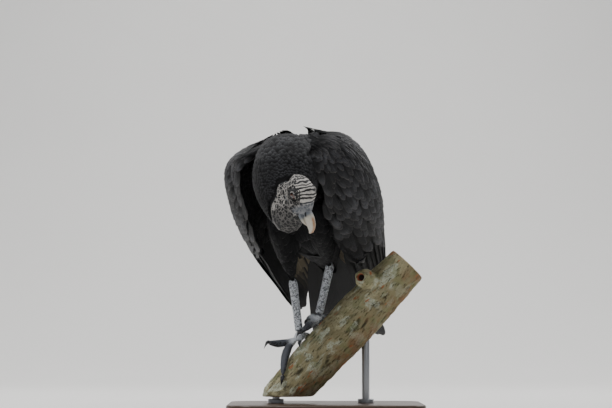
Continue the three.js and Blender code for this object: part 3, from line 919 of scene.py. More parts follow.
def skin_material(plumage, skin):
    surface = Surface("skin", Roughness=0.6, Specular_IOR_Level=0.4)
    head, leg, foot = surface.split(surface.attribute("zones", 1))
    fold, scale, run = surface.split(surface.attribute("relief", 1))
    along, aside, above = surface.split(surface.attribute("skull", 1))
    place = surface.place(1000)
    speck = surface.noise(place, 0.55, 4)
    blotch = surface.noise(place, 0.09, 3)
    groove, ridge = colour_of(skin.groove), colour_of(skin.ridge)
    crown = above.step(6, 16) * along.step(-24, -8)
    pale = (fold - 0.14 * (1 - crown)).step(0.44, 0.78) * (0.55 + 0.6 * blotch.step(0.3, 0.7)) * speck.step(0.15, 0.5)
    shade = along.step(-2, 24) * above.step(-10, -18)
    pale = pale * (0.72 + 0.55 * crown) * (1 - 0.75 * shade)
    warm = surface.mix(ridge, (0.50, 0.45, 0.41), speck)
    # dark grooves between the pale folds: darker skin and painted shade in the creases
    head_colour = surface.mix(groove, warm, pale)
    lore = along.step(14, 22) * above.step(-16, -8)
    head_colour = surface.mix(head_colour, (0.15, 0.165, 0.19), lore * 0.7)
    dirt = surface.noise(place, 0.8, 5).step(0.60, 0.72)
    shank = surface.mix(colour_of(skin.shank), (0.09, 0.09, 0.10), dirt * 0.75)
    shank = surface.mix((0.16, 0.17, 0.19), shank, scale.step(0.1, 0.55))
    toe = surface.mix((0.014, 0.015, 0.018), colour_of(skin.toe), scale.step(0.15, 0.75))
    chalk = (1 - run.step(0.12, 0.42)) * blotch.step(0.25, 0.5)
    toe = surface.mix(toe, shank, chalk)
    leg_colour = surface.mix(shank, toe, foot)
    colour = surface.mix(colour_of(plumage.dark), head_colour, head)
    colour = surface.mix(colour, leg_colour, leg)
    rough = 0.46 + 0.25 * speck
    grain = surface.noise(place, 1.6, 3)
    return surface.finish(colour, rough, bump=[(speck, 0.35), (grain, 0.12)])


class VULTURE_OT_skin(bpy.types.Operator):
    """One skin over head, neck, trunk, wings and legs"""

    bl_idname = "vulture.skin"
    bl_label = "Skin"

    def execute(self, context):
        scene = context.scene
        make_skin(scene.vulture_plumage, scene.vulture_skin)
        return {"FINISHED"}


# ---- feathers ------------------------------------------------------------------------

BAKE_PATCH = 0.003  # side of a feather's patch on the unwrap


@lru_cache(maxsize=None)
def quill(sides, rings):
    """A closed tube made of rings along z: its corners (x, y, ring) and its faces."""
    shape = bmesh.new()
    bmesh.ops.create_cone(
        shape, cap_ends=True, segments=sides, radius1=1, radius2=1, depth=1
    )
    upright = [edge for edge in shape.edges if abs(edge.verts[0].co.z - edge.verts[1].co.z) > 0.5]
    bmesh.ops.subdivide_edges(shape, edges=upright, cuts=rings - 2)
    shape.verts.index_update()
    places = np.array([vert.co[:] for vert in shape.verts])

    ring = np.rint((places[:, 2] + 0.5) * (rings - 1)).astype(int)
    faces = [[vert.index for vert in face.verts] for face in shape.faces]
    shape.free()
    return np.column_stack([places[:, 0], places[:, 1], ring]), faces


def joined_mesh(name, points, faces, count):
    """One mesh of count copies of the same faces, with the given corners."""
    each = points.shape[1]
    sizes = np.array([len(face) for face in faces])
    loops = np.concatenate(faces)
    loops = (loops[None, :] + each * np.arange(count)[:, None]).ravel()
    totals = np.tile(sizes, count)
    mesh = bpy.data.meshes.new(name)
    mesh.vertices.add(each * count)
    mesh.vertices.foreach_set("co", points.astype(np.float32).ravel())
    mesh.loops.add(len(loops))
    mesh.loops.foreach_set("vertex_index", loops.astype(np.int32))
    mesh.polygons.add(len(totals))
    starts = np.concatenate([[0], np.cumsum(totals)[:-1]])
    mesh.polygons.foreach_set("loop_start", starts.astype(np.int32))
    mesh.polygons.foreach_set("loop_total", totals.astype(np.int32))
    mesh.update(calc_edges=True)
    return mesh, loops


class Vanes:
    """Feathers to be joined: lines of places with outward ways, and their widths."""

    def __init__(self, shares, sides=4):
        self.shares = np.array(shares, float)
        self.sides = sides
        self.places, self.outward, self.width = [], [], []
        self.thick, self.tone, self.lean = [], [], []

    def add(self, places, outward, width, thick, tone, lean=0.0):
        """places and outward are (feathers, rings, 3); width and thick (feathers, rings)."""
        count = len(places)
        self.places.append(places)
        self.outward.append(outward)
        self.width.append(width)
        self.thick.append(np.broadcast_to(thick, width.shape))
        self.tone.append(np.broadcast_to(tone, (count,)))
        self.lean.append(np.broadcast_to(lean, (count,)))

    def build(self, name, camber, jitter=0.0, seed=0):
        """The joined mesh, with the maps that its material reads and an unwrap named OFBake."""
        places, outward = np.concatenate(self.places), np.concatenate(self.outward)
        width, thick = np.concatenate(self.width), np.concatenate(self.thick)
        tone, lean = np.concatenate(self.tone), np.concatenate(self.lean)
        random = np.random.default_rng(seed)
        count = len(places)
        shape, faces = quill(self.sides, len(self.shares))
        x, y, ring = shape[:, 0], shape[:, 1], shape[:, 2].astype(int)
        way = unit(np.gradient(places, axis=1))
        side = unit(np.cross(way, outward))
        up = unit(np.cross(side, way))
        wide, deep = width[:, ring], thick[:, ring]
        across = wide * (x + lean[:, None] * (1 - x * x))
        rise = deep * y - camber * wide * x * x
        points = (
            places[:, ring]
            + side[:, ring] * across[..., None]
            + up[:, ring] * rise[..., None]
        )
        if jitter:
            points += random.normal(0, jitter * MM, points.shape) * (np.abs(x) > 0.9)[None, :, None]
        faces = [face[::-1] for face in faces]
        mesh, loops = joined_mesh(name, points, faces, count)
        length = np.linalg.norm(np.diff(places, axis=1), axis=2).sum(axis=1)
        share = self.shares[ring]
        rim = np.maximum(np.abs(x), smoothstep(0.86, 1.0, share))
        vane = np.stack(
            [across / MM, length[:, None] / MM * share, np.broadcast_to(rim, across.shape)], axis=2
        )
        paint(mesh, "vane", vane.reshape(-1, 3))
        paint(mesh, "tone", np.repeat(tone, len(x)))
        grade = np.stack([np.clip(-y, 0, 1), share, 0 * y], axis=1)
        paint(mesh, "grade", np.tile(grade, (count, 1)))
        border = np.tile(np.abs(y) < 0.01, count)
        ends = np.empty(len(mesh.edges) * 2, np.int32)
        mesh.edges.foreach_get("vertices", ends)
        ends = ends.reshape(-1, 2)
        sharp = mesh.attributes.new("sharp_edge", "BOOLEAN", "EDGE")
        sharp.data.foreach_set("value", border[ends[:, 0]] & border[ends[:, 1]])
        _, _, face = hide().nearest(places[:, 0])
        roots = hide().unwrap[face]
        patch = np.stack([x, 2 * share - 1], axis=1) * BAKE_PATCH / 2
        unwrap = (roots[:, None, :] + patch[None]).reshape(-1, 2)
        bake = mesh.uv_layers.new(name="OFBake")
        bake.data.foreach_set("uv", unwrap[loops].astype(np.float32).ravel())
        return link(mesh, name)


def feather_material(name, plumage, rim, gloss, barb=1.0, shafts=0.0, under=0.0, painted_sheen=3.5, shine=0.24):
    """Dark vane with fine barbs, a worn rim and a shaft, a paler under side, and painted sheen on its exposed end."""
    surface = Surface(name, Specular_IOR_Level=shine, Sheen_Weight=0.03)
    across, along, border = surface.split(surface.attribute("vane", 1))
    below, share, _ = surface.split(surface.attribute("grade", 1))
    tone = surface.attribute("tone")
    place = surface.place(1000)
    dark, pale = colour_of(plumage.dark), colour_of(plumage.rim)
    cloud = surface.noise(place, 0.035, 3)
    streak = surface.noise(place, 0.5, 4)
    # painted sheen: clouds on the exposed end of each vane are lightened, and the part towards the root stays dark as
    # painted shade under the feathers that overlie it
    end = share.step(0.45, 0.95)
    bright = (0.25 + 0.75 * tone) * cloud.step(0.25, 0.75) * end
    colour = surface.mix(dark, tuple(painted_sheen * part for part in dark), bright)
    worn = border.step(0.5, 1.0) * streak.step(0.25, 0.7) * end * (0.4 + 0.6 * tone)
    colour = surface.mix(colour, pale, worn * rim)
    shaft = across.size().step(0.9, 0.25)
    if under:
        below = below.step(0.1, 0.4) * along.step(240, 140) * border.step(0.9, 0.45)
        below = below * tone.step(0.35, 0.8)
        colour = surface.mix(colour, colour_of(plumage.under), below * under)
        colour = surface.mix(colour, colour_of(plumage.shaft), shaft * below * shafts)
    barbs = ((along - across.size() * 1.3) * (2 * math.pi / barb)).sine() * 0.5 + 0.5
    rough = gloss + 0.18 * streak + 0.08 * barbs + 0.12 * (1 - end)
    return surface.finish(colour, rough, bump=[(barbs, 0.10), (shaft, 0.25), (streak, 0.25)])


# ---- contour feathers ----------------------------------------------------------------

CONTOUR_SHARES = (0.0, 0.22, 0.5, 0.76, 0.93, 1.0)
CONTOUR_WIDTH = [(0, 0.16), (0.22, 0.66), (0.5, 0.98), (0.76, 1.0), (0.93, 0.62), (1, 0.16)]
CONTOUR_RISE = [(0, -1.0), (0.22, -0.35), (0.5, 0.02), (0.76, 0.16), (0.93, 0.22), (1, 0.2)]


def darts(points, spacing, seed):
    """Numbers of random points, no two nearer than their spacing."""
    cell = float(spacing.max())
    taken, kept = {}, []
    order = np.random.default_rng(seed).permutation(len(points))
    keys = np.floor(points / cell).astype(int)
    for i in order:
        point, apart = points[i], spacing[i]
        a, b, c = keys[i]
        near = [
            j
            for da in (-1, 0, 1)
            for db in (-1, 0, 1)
            for dc in (-1, 0, 1)
            for j in taken.get((a + da, b + db, c + dc), ())
        ]
        if near:
            gaps = points[near] - point
            if (np.einsum("ij,ij->i", gaps, gaps) < apart * apart).any():
                continue
        taken.setdefault((a, b, c), []).append(i)
        kept.append(i)
    return np.array(kept)


def spread_over(form, count, seed):
    """Random points on the hide, evenly by area, with the faces that hold them."""
    random = np.random.default_rng(seed)
    quads = form.points[form.faces]
    first = np.cross(quads[:, 1] - quads[:, 0], quads[:, 2] - quads[:, 0])
    area = np.linalg.norm(first, axis=1)
    face = random.choice(len(area), count, p=area / area.sum())
    u, v = random.random((2, count, 1))
    a, b, c, d = (quads[face, i] for i in range(4))
    return (a * (1 - u) + b * u) * (1 - v) + (d * (1 - u) + c * u) * v


class Tracts:
    """The hide's feather roots, with what each needs to know of its place."""

    def __init__(self, seed):
        form = hide()
        points = spread_over(form, 90000, seed)
        self.points, self.outward, _ = form.nearest(points)
        groups = {
            "head": ["head"],
            "neck": ["neck"],
            "trunk": ["trunk"],
            "thigh": ["thigh_right", "thigh_left"],
            "shank": ["shank_right", "shank_left"],
            "wing": ["wing_right", "wing_left"],
        }
        apart = {name: distances(nodes, self.points) for name, nodes in groups.items()}
        self.apart = apart
        names = list(apart)
        self.kind = np.array(names)[np.argmin(np.stack([apart[name] for name in names]), axis=0)]
        self.local = BODY.local(self.points)


@lru_cache(maxsize=1)
def tracts():
    return Tracts(seed=11)


def lay(points, outward, length, depth, spread, seed, loft):
    """Feather lines over the hide: places and ways at each ring, hugging the form."""
    form = hide()
    random = np.random.default_rng(seed)
    way = lie_at(points)
    twist = random.normal(0, spread, len(points))[:, None]
    way = way - np.sum(way * outward, axis=1, keepdims=True) * outward
    way = unit(unit(way) + twist * np.cross(outward, way))
    half = length[:, None] * 0.5
    middle, middle_out, _ = form.nearest(points + way * half)
    on = way - np.sum(way * middle_out, axis=1, keepdims=True) * middle_out
    tip, tip_out, _ = form.nearest(middle + unit(on) * half)
    s = np.array(CONTOUR_SHARES)[None, :, None]
    first, second, third = 2 * (s - 0.5) * (s - 1), 4 * s * (1 - s), 2 * s * (s - 0.5)
    places = first * points[:, None] + second * middle[:, None] + third * tip[:, None]
    ways = unit((1 - s) * outward[:, None] + s * tip_out[:, None] + 0.5 * middle_out[:, None])
    rise = smooth_at(CONTOUR_RISE, CONTOUR_SHARES)[None, :, 0] * depth[:, None]
    lift = random.uniform(0.0, 0.3, len(points)) + loft
    lift = lift[:, None] * np.array(CONTOUR_SHARES)[None] * MM
    places = places + ways * (rise + lift)[..., None]
    return places, ways


# Where the nape's feathers stand up between the hood and the left wing, in millimetres.
NAPE_TUFT = {"place": (-22, -104, 414), "reach": 22, "height": 11}


def contour_feathers(name, mask, size_of, plumage, material, seed, close, tones):
    """Small feathers over part of the hide. size_of gives lengths and widths in mm."""
    found = tracts()
    chosen = np.nonzero(mask)[0]
    length, width = size_of(chosen)
    spacing = width * close * MM
    kept = darts(found.points[chosen], spacing, seed)
    chosen, length, width = chosen[kept], length[kept] * MM, width[kept] * MM
    random = np.random.default_rng(seed)
    length = length * random.uniform(0.85, 1.15, len(length))
    depth = np.minimum(plumage.depth, length * 0.22)
    loft = np.linalg.norm(found.points[chosen] / MM - NAPE_TUFT["place"], axis=1)
    loft = NAPE_TUFT["height"] * np.exp(-((loft / NAPE_TUFT["reach"]) ** 2))
    places, ways = lay(
        found.points[chosen], found.outward[chosen], length, depth, 0.10, seed, loft
    )
    profile = smooth_at(CONTOUR_WIDTH, CONTOUR_SHARES)[None, :, 0]
    vanes = Vanes(CONTOUR_SHARES)
    tone = random.uniform(*tones, len(length))
    vanes.add(places, ways, profile * width[:, None] / 2, 0.22 * MM, tone)
    piece = vanes.build(name, camber=0.22, seed=seed)
    return finish(piece, materials=[material])


def coat_sizes():
    """Functions that give each tract's feather lengths and widths in millimetres."""
    found = tracts()

    def hood(chosen):
        grown = smoothstep(2, 70, found.apart["head"][chosen])
        near = found.apart["head"][chosen]
        return np.minimum(6 + 22 * grown, near + 2.5), 5.0 + 9.5 * grown

    def trunk(chosen):
        behind = found.local[chosen, 0]
        grown = smoothstep(-20, 230, behind)
        return 32 + 22 * grown, 17 + 5 * grown

    def thigh(chosen):
        grown = smoothstep(5, 60, found.apart["shank"][chosen])
        return 13 + 20 * grown, 7.5 + 8 * grown

    def lining(chosen):
        grown = smoothstep(0, 130, found.local[chosen, 0])
        return 14 + 14 * grown, 9 + 6 * grown

    return {"hood": hood, "trunk": trunk, "thigh": thigh, "lining": lining}


class VULTURE_OT_coat(bpy.types.Operator):
    """Hood, breast, back and thigh feathers"""

    bl_idname = "vulture.coat"
    bl_label = "Coat"

    def execute(self, context):
        plumage = context.scene.vulture_plumage
        found, sizes = tracts(), coat_sizes()
        # painted light: the hood's copy paints strong sheen, helped by its higher tones; the copy for trunk, thighs
        # and wing lining paints little sheen and is darker as painted shade on these low parts
        soft = feather_material("down_soft", plumage, rim=0.12, gloss=0.55, painted_sheen=7.0)
        shaded_down = feather_material("down_shaded", plumage, rim=0.15, gloss=0.45, painted_sheen=1.5, shine=0.1)
        on_wing_top = wing_outer(found.points, found.outward, found.kind)
        masks = {
            "hood": (found.kind == "neck") & (found.apart["head"] > 3.0),
            "trunk": found.kind == "trunk",
            "thigh": (found.kind == "thigh") & (found.apart["shank"] > 0.8),
            "lining": (found.kind == "wing") & ~on_wing_top,
        }
        for number, (name, mask) in enumerate(masks.items()):
            material = soft if name == "hood" else shaded_down
            contour_feathers(
                f"feathers_{name}", mask, sizes[name], plumage, material, plumage.seed + number,
                close=0.5 if name == "hood" else 0.62,
                tones=(0.55, 0.8) if name == "hood" else (0, 1),
            )
        return {"FINISHED"}


# ---- wings ---------------------------------------------------------------------------

# Rows along each folded wing: share of its length, then millimetres behind the
# shoulders, aside and above, for its leading edge, its middle and its crest.
WINGS = {
    "left": {
        "edge": [
            (0, -34, 24, -34), (0.1, -26, 52, -58), (0.25, 66, 50, -74),
            (0.5, 168, 50, -60), (0.75, 280, 54, -20), (1, 386, 58, 32),
        ],
        "middle": [
            (0, -34, 30, 0), (0.1, -4, 82, 14), (0.25, 76, 101, 14),
            (0.5, 180, 94, 18), (0.75, 283, 76, 26), (1, 394, 50, 40),
        ],
        "crest": [
            (0, -32, 16, 30), (0.1, 16, 12, 69), (0.25, 76, 4, 76),
            (0.5, 180, 4, 68), (0.75, 276, 5, 54), (1, 384, 12, 47),
        ],
    },
    "right": {
        "edge": [
            (0, -32, 26, -34), (0.1, -26, 64, -58), (0.25, 60, 74, -66),
            (0.5, 160, 80, -48), (0.75, 262, 85, -12), (1, 356, 82, 26),
        ],
        "middle": [
            (0, -30, 34, 0), (0.1, 2, 84, 6), (0.25, 60, 97, 12),
            (0.5, 160, 99, 16), (0.75, 262, 86, 26), (1, 376, 62, 38),
        ],
        "crest": [
            (0, -28, 18, 26), (0.1, 12, 12, 66), (0.25, 60, 5, 74),
            (0.5, 160, 5, 68), (0.75, 262, 6, 54), (1, 374, 26, 44),
        ],
    },
}
WING_OUTWARD = [(0, 8), (0.1, 14), (0.25, 13), (0.5, 8), (0.75, 4), (1, 1.4)]
SLAB_END = 0.8  # share of the wing's length that is thicker than its feathers


def wing_surface(side, t, v, height=0.0):
    """Places and outward ways on the outer side of a wing, height in mm over it."""
    sign = SIDES[side]
    edge, middle, crest = (
        BODY.point(smooth_at(WINGS[side][line], t) * (1, sign, 1))
        for line in ("edge", "middle", "crest")
    )
    v = np.asarray(v, float)[..., None]
    control = 2 * middle - (edge + crest) / 2
    place = edge * (1 - v) ** 2 + control * 2 * v * (1 - v) + crest * v * v
    across = (control - edge) * (1 - v) + (crest - control) * v
    outward = -sign * unit(np.cross(across, BODY.directions[0]))
    spread = np.sin(np.pi * np.clip(np.asarray(t) / SLAB_END, 0, 1)) ** 0.55
    over = np.clip((1 - 2 * v[..., 0]) / np.maximum(spread, 1e-3), -1, 1)
    thick = spread * smooth_at(WING_OUTWARD, t)[..., 0] * np.sqrt(1 - over**2)
    return place + outward * ((thick + height) * MM)[..., None], outward


def wing_outer(points, outward, kind):
    """Whether each point lies on the outer side of a wing, where the rows of coverts are."""
    t, v = (grid.ravel() for grid in np.meshgrid(np.linspace(0.02, 0.6, 30), np.linspace(0, 1, 20)))
    tree = KDTree(2 * len(t))
    ways = []
    for side in SIDES:
        places, out = wing_surface(side, t, v)
        for place, way in zip(places, out):
            tree.insert(place, len(ways))
            ways.append(way)
    tree.balance()
    outer = np.zeros(len(points), bool)
    for i in np.nonzero(kind == "wing")[0]:
        _, nearest, _ = tree.find(points[i])
        outer[i] = ways[nearest] @ outward[i] > 0.15
    return outer


FLIGHT_SHARES = (0.0, 0.05, 0.15, 0.3, 0.45, 0.6, 0.72, 0.82, 0.9, 0.955, 0.985, 1.0)
FLIGHT_WIDTH = [
    (0, 0.10), (0.05, 0.35), (0.15, 0.85), (0.3, 1), (0.6, 1), (0.82, 0.94),
    (0.9, 0.84), (0.955, 0.62), (0.985, 0.38), (1, 0.10),
]


def wing_feathers(vanes, side, starts, ends, widths, heights, random, tone=None, lean=0.0):
    """Feathers from (t, v) starts to ends on a wing, with heights in mm at root and tip."""
    shares = vanes.shares
    starts, ends = np.array(starts, float), np.array(ends, float)
    s = shares[None, :, None]
    line = starts[:, None] * (1 - s) + ends[:, None] * s
    low, high = (np.asarray(x, float).reshape(-1, 1) for x in heights)
    height = low * (1 - shares) + high * shares
    height = height * (1 - 0.75 * smoothstep(0.85, 1.0, line[..., 1]))
    places, outward = wing_surface(side, line[..., 0], line[..., 1], height)
    profile = smooth_at(CONTOUR_WIDTH if len(shares) < 9 else FLIGHT_WIDTH, shares)[None, :, 0]
    width = profile * np.asarray(widths, float).reshape(-1, 1) / 2 * MM
    tone = random.random(len(starts)) if tone is None else tone
    vanes.add(places, outward, width, 0.25 * MM, tone, lean)


COVERT_SHARES = (0.0, 0.25, 0.5, 0.72, 0.88, 0.96, 1.0)


WING_BREADTH = 190.0  # millimetres across a folded wing


def covert_row(vanes, side, t, length, width, random, v_range=(0.0, 1.0), skew=0.10, height=(0.0, 1.6)):
    """One row of coverts across a wing, rooted near t, each length long, as shares."""
    first, last = v_range
    step = 0.56 * width / WING_BREADTH
    count = max(int((last - first) / step), 2)
    v = first + (last - first) * (np.arange(count) + random.uniform(0.2, 0.8)) / count
    v = np.clip(v + random.normal(0, step * 0.2, count), 0, 1)
    start = t + skew * v + random.normal(0, 0.006, count)
    size = length * random.uniform(0.82, 1.18, count)
    tip_v = np.clip(v + random.normal(0, 0.014, count) + 0.03 * (0.5 - v), 0, 1)
    starts = np.stack([start, v], axis=1)
    ends = np.stack([start + size, tip_v], axis=1)
    wing_feathers(
        vanes, side, starts, ends, width * random.uniform(0.85, 1.15, count), height, random
    )


def scapulars(vanes, side, random):
    """Long narrow feathers that stream from the shoulder over the upper part of a wing."""
    for start, length, width in ((0.30, 0.27, 13), (0.21, 0.25, 12), (0.13, 0.22, 11), (0.06, 0.18, 10), (0.0, 0.14, 9)):
        step = 0.62 * width / WING_BREADTH
        count = int(0.38 / step)
        v = 0.62 + 0.38 * (np.arange(count) + 0.5) / count + random.normal(0, step * 0.2, count)
        v = np.clip(v, 0.58, 1)
        t = np.maximum(start - 0.04 * (v - 0.62) / 0.38 + random.normal(0, 0.016, count), 0.03)
        size = length * random.uniform(0.85, 1.15, count)
        ends = np.stack([t + size, np.clip(v - 0.02 + random.normal(0, 0.01, count), 0, 1)], axis=1)
        low = random.uniform(0.2, 0.6, count)
        wing_feathers(
            vanes, side, np.stack([t, v], axis=1), ends, width * random.uniform(0.85, 1.15, count),
            (low, low + random.uniform(2.0, 3.2, count)), random, lean=0.35,
        )


def make_wing(side, plumage, materials):
    random = np.random.default_rng(plumage.seed + 50 + SIDES[side])
    coverts = Vanes(COVERT_SHARES)
    # small feathers near the wrist and leading edge, growing towards the flight feathers
    t = -0.02
    while t < 0.27:
        grown = max(t, 0.0) / 0.27
        width = 8.5 + 8.5 * grown
        covert_row(
            coverts, side, t, 0.042 + 0.042 * grown, width, random, height=(-0.3, 2.8)
        )
        t += 0.014 + 0.010 * grown
    for place, length, width in ((0.28, 0.11, 19), (0.315, 0.13, 21), (0.36, 0.16, 23)):
        covert_row(coverts, side, place, length, width, random, height=(-0.3, 2.4))
    scapulars(coverts, side, random)
    piece = coverts.build(f"feathers_coverts_{side}", camber=0.26, seed=plumage.seed)
    finish(piece, materials=[materials["covert"]])

    flight = Vanes(FLIGHT_SHARES, sides=8)
    secondaries = 13
    for i in range(secondaries):
        share = i / (secondaries - 1)
        v = 0.28 + 0.70 * share
        tip = (0.96 - 0.16 * share, 0.42 + 0.54 * share)
        wing_feathers(
            flight, side, [(0.42 + 0.05 * share, v)], [tip], 28, ([-0.4], [0.6 + 0.22 * i]), random,
            tone=[0.2 + 0.8 * share], lean=0.2,
        )
    primaries = 10
    for i in range(primaries):
        share = i / (primaries - 1)
        v = 0.05 + 0.42 * share
        tip = (1.0 - 0.028 * abs(i - 3) - 0.01 * i, 0.05 + 0.62 * share)
        wing_feathers(
            flight, side, [(0.40, v)], [tip], 25, ([-1.0], [-1.4 + 0.25 * i]), random,
            tone=[0.2], lean=0.2,
        )
    piece = flight.build(f"feathers_flight_{side}", camber=0.06, seed=plumage.seed)
    finish(piece, [f"wing_{side}"], [materials["flight"]])


class VULTURE_OT_wings(bpy.types.Operator):
    """Coverts and flight feathers of both wings"""

    bl_idname = "vulture.wings"
    bl_label = "Wings"

    def execute(self, context):
        plumage = context.scene.vulture_plumage
        # painted sheen: strongest on the coverts, less on the flight feathers
        materials = {
            "covert": feather_material("vane_covert", plumage, rim=0.9, gloss=0.36, painted_sheen=13.0),
            "flight": feather_material(
                "vane_flight", plumage, rim=0.8, gloss=0.36, shafts=0.6, under=0.9, painted_sheen=7.0,
                shine=0.18,
            ),
        }
        for side in SIDES:
            make_wing(side, plumage, materials)
        return {"FINISHED"}


# ---- tail ----------------------------------------------------------------------------

TAIL = {"feathers": 12, "start": 205, "length": 212, "lift": 20, "root": 2.4, "tip": 9.6}
TAIL_WIDTH = 30


class VULTURE_OT_tail(bpy.types.Operator):
    """Tail feathers"""

    bl_idname = "vulture.tail"
    bl_label = "Tail"

    def execute(self, context):
        plumage = context.scene.vulture_plumage
        vanes = Vanes(FLIGHT_SHARES, sides=8)
        shares = vanes.shares
        middle = (TAIL["feathers"] - 1) / 2
        for i in range(TAIL["feathers"]):
            rank = i - middle
            end = TAIL["length"] - 1.2 * abs(rank)
            aside = rank * (TAIL["root"] + (TAIL["tip"] - TAIL["root"]) * shares)
            above = 4 + (TAIL["lift"] - 0.34 * rank * rank) * shares - 0.25 * abs(rank)
            line = np.stack([TAIL["start"] + end * shares, aside, above], axis=1)
            tilt = unit(BODY.directions[2] + 0.05 * rank * BODY.directions[1])
            outward = np.broadcast_to(tilt, (1, len(shares), 3))
            width = smooth_at(FLIGHT_WIDTH, shares)[None, :, 0] * TAIL_WIDTH / 2 * MM
            vanes.add(BODY.point(line)[None], outward, width, 0.3 * MM, 0.5)
        piece = vanes.build("feathers_tail", camber=0.05, seed=plumage.seed)
        material = feather_material("vane_tail", plumage, rim=0.6, gloss=0.40)
        finish(piece, ["tail"], [material])
        return {"FINISHED"}


# ---- bill ----------------------------------------------------------------------------

NOSTRIL = {"along": 31.5, "above": 1.6, "length": 4.6, "height": 1.5, "depth": 1.5}
HORN_START = 35.0  # millimetres in front of the eyes where the slate base ends


def make_bill(part, skin):
    piece = remeshed(cad_copy([f"bill_{part}"], f"bill_{part}_horn"), 0.45, smoothing=5)
    mesh = piece.data
    points, outward = corners(mesh), normals(mesh)
    local = SKULL.local(points)
    along, aside, above = local.T
    if part == "upper":
        slit = ((along - NOSTRIL["along"]) / NOSTRIL["length"]) ** 2
        slit += ((above - NOSTRIL["above"] - 0.08 * (along - NOSTRIL["along"])) / NOSTRIL["height"]) ** 2
        hole = (1 - smoothstep(0.35, 1.25, slit)) * (np.abs(aside) > 2)
        rim = np.exp(-(((slit - 1.6) / 0.5) ** 2)) * (np.abs(aside) > 2)
        keel = np.exp(-((aside / 1.7) ** 2)) * (above > 0) * smoothstep(18, 26, along)
        step = smoothstep(HORN_START - 1.5, HORN_START + 1.5, along + 0.5 * above)
        points += ((0.3 * rim + 0.35 * keel - NOSTRIL["depth"] * hole - 0.25 * step) * MM)[
            :, None
        ] * outward
        move_corners(mesh, points)
        paint(mesh, "mark", np.stack([hole, keel, step], axis=1))
    else:
        paint(mesh, "mark", np.zeros((len(points), 3)))
    paint(mesh, "skull", local)
    finish(piece, [f"bill_{part}"], [bill_material(part, skin)])


def bill_material(part, skin):
    surface = Surface(f"bill_{part}", Specular_IOR_Level=0.5)
    along, aside, above = surface.split(surface.attribute("skull", 1))
    hole, keel, step = surface.split(surface.attribute("mark", 1))
    place = surface.place(1000)
    cloud = surface.noise(place, 0.22, 4)
    grain = surface.noise(surface.node("CombineXYZ", {}, along * 0.12, aside, above), 1.4, 4)
    # painted highlight: paler slate along the top ridge of the bill
    slate = surface.mix(colour_of(skin.slate), (0.34, 0.35, 0.37), keel * 0.9)
    slate = surface.mix(slate, (0.07, 0.075, 0.085), cloud.step(0.55, 0.75) * 0.7)
    horn = surface.mix((0.46, 0.44, 0.40), colour_of(skin.horn), grain.step(0.3, 0.7))
    streak = aside.size().step(3.6, 1.2) * above.step(-12, -4) * along.step(37, 43)
    streak = streak * grain.step(0.2, 0.6)
    horn = surface.mix(horn, (0.36, 0.15, 0.045), streak * 0.9)
    tip = (along + above * 0.1).step(HORN_START - 2.5, HORN_START + 3.5 )
    colour = surface.mix(slate, horn, tip)
    # painted shade: the nostril's opening painted near black
    colour = surface.mix(colour, (0.012, 0.012, 0.013), hole)
    rough = 0.30 + 0.25 * cloud
    return surface.finish(colour, rough, bump=[(grain, 0.12), (cloud, 0.2)])


class VULTURE_OT_bill(bpy.types.Operator):
    """Upper and lower bill"""

    bl_idname = "vulture.bill"
    bl_label = "Bill"

    def execute(self, context):
        for part in ("upper", "lower"):
            make_bill(part, context.scene.vulture_skin)
        return {"FINISHED"}


# ---- eyes ----------------------------------------------------------------------------

PUPIL_EDGE = 15.0  # degrees from the line of sight
IRIS_EDGE = 36.0


def eye_material(skin):
    surface = Surface("eye", Roughness=0.06, Coat_Weight=1.0, Coat_Roughness=0.02)
    angle, turn, _ = surface.split(surface.attribute("gaze", 1))
    spokes = surface.noise(surface.node("CombineXYZ", {}, angle * 0.03, turn * 9.0), 1.0, 4)
    iris = surface.mix(colour_of(skin.iris), (0.16, 0.05, 0.028), spokes.step(0.35, 0.75))
    colour = surface.mix((0.002, 0.002, 0.002), iris, angle.step(PUPIL_EDGE - 2, PUPIL_EDGE + 1))
    colour = surface.mix(colour, (0.010, 0.008, 0.008), angle.step(IRIS_EDGE - 5, IRIS_EDGE))
    return surface.finish(colour)


class VULTURE_OT_eyes(bpy.types.Operator):
    """Both eyes"""

    bl_idname = "vulture.eyes"
    bl_label = "Eyes"

    def execute(self, context):
        material = eye_material(context.scene.vulture_skin)
        radius = EYE["radius"] - 0.1
        for side, (centre, way) in zip(SIDES, eye_places()):
            shape = bmesh.new()
            bmesh.ops.create_uvsphere(shape, u_segments=48, v_segments=32, radius=radius * MM)
            turn = Vector((0, 0, 1)).rotation_difference(Vector(way)).to_matrix()
            gaze = []
            for vert in shape.verts:
                angle = math.degrees(vert.co.angle(Vector((0, 0, 1))))
                gaze.append((angle, math.atan2(vert.co.y, vert.co.x), 0))
                vert.co *= 1 + 0.05 * float(smoothstep(34, 8, angle))
            bmesh.ops.rotate(shape, verts=shape.verts, matrix=turn)
            bmesh.ops.translate(shape, verts=shape.verts, vec=centre)
            piece = from_bmesh(shape, f"eyeball_{side}")
            paint(piece.data, "gaze", np.array(gaze))
            finish(piece, [f"eye_{side}"], [material])
        return {"FINISHED"}


# ---- claws ---------------------------------------------------------------------------


def claw_material():
    surface = Surface("claw", Specular_IOR_Level=0.5)
    place = surface.place(1000)
    fine, coarse = surface.noise(place, 1.1, 4), surface.noise(place, 0.25, 3)
    colour = surface.mix((0.010, 0.010, 0.012), (0.075, 0.078, 0.085), coarse.step(0.4, 0.8))
    return surface.finish(colour, 0.26 + 0.3 * fine, bump=[(fine, 0.15)])


class VULTURE_OT_claws(bpy.types.Operator):
    """The claws of both feet"""

    bl_idname = "vulture.claws"
    bl_label = "Claws"

    def execute(self, context):
        material = claw_material()
        for side in SIDES:
            for toe in TOES:
                node = f"claw_{side}_{toe}"
                piece = remeshed(cad_copy([node], f"{node}_horn"), 0.34, smoothing=6)
                finish(piece, [node], [material])
        return {"FINISHED"}


# ---- perch ---------------------------------------------------------------------------

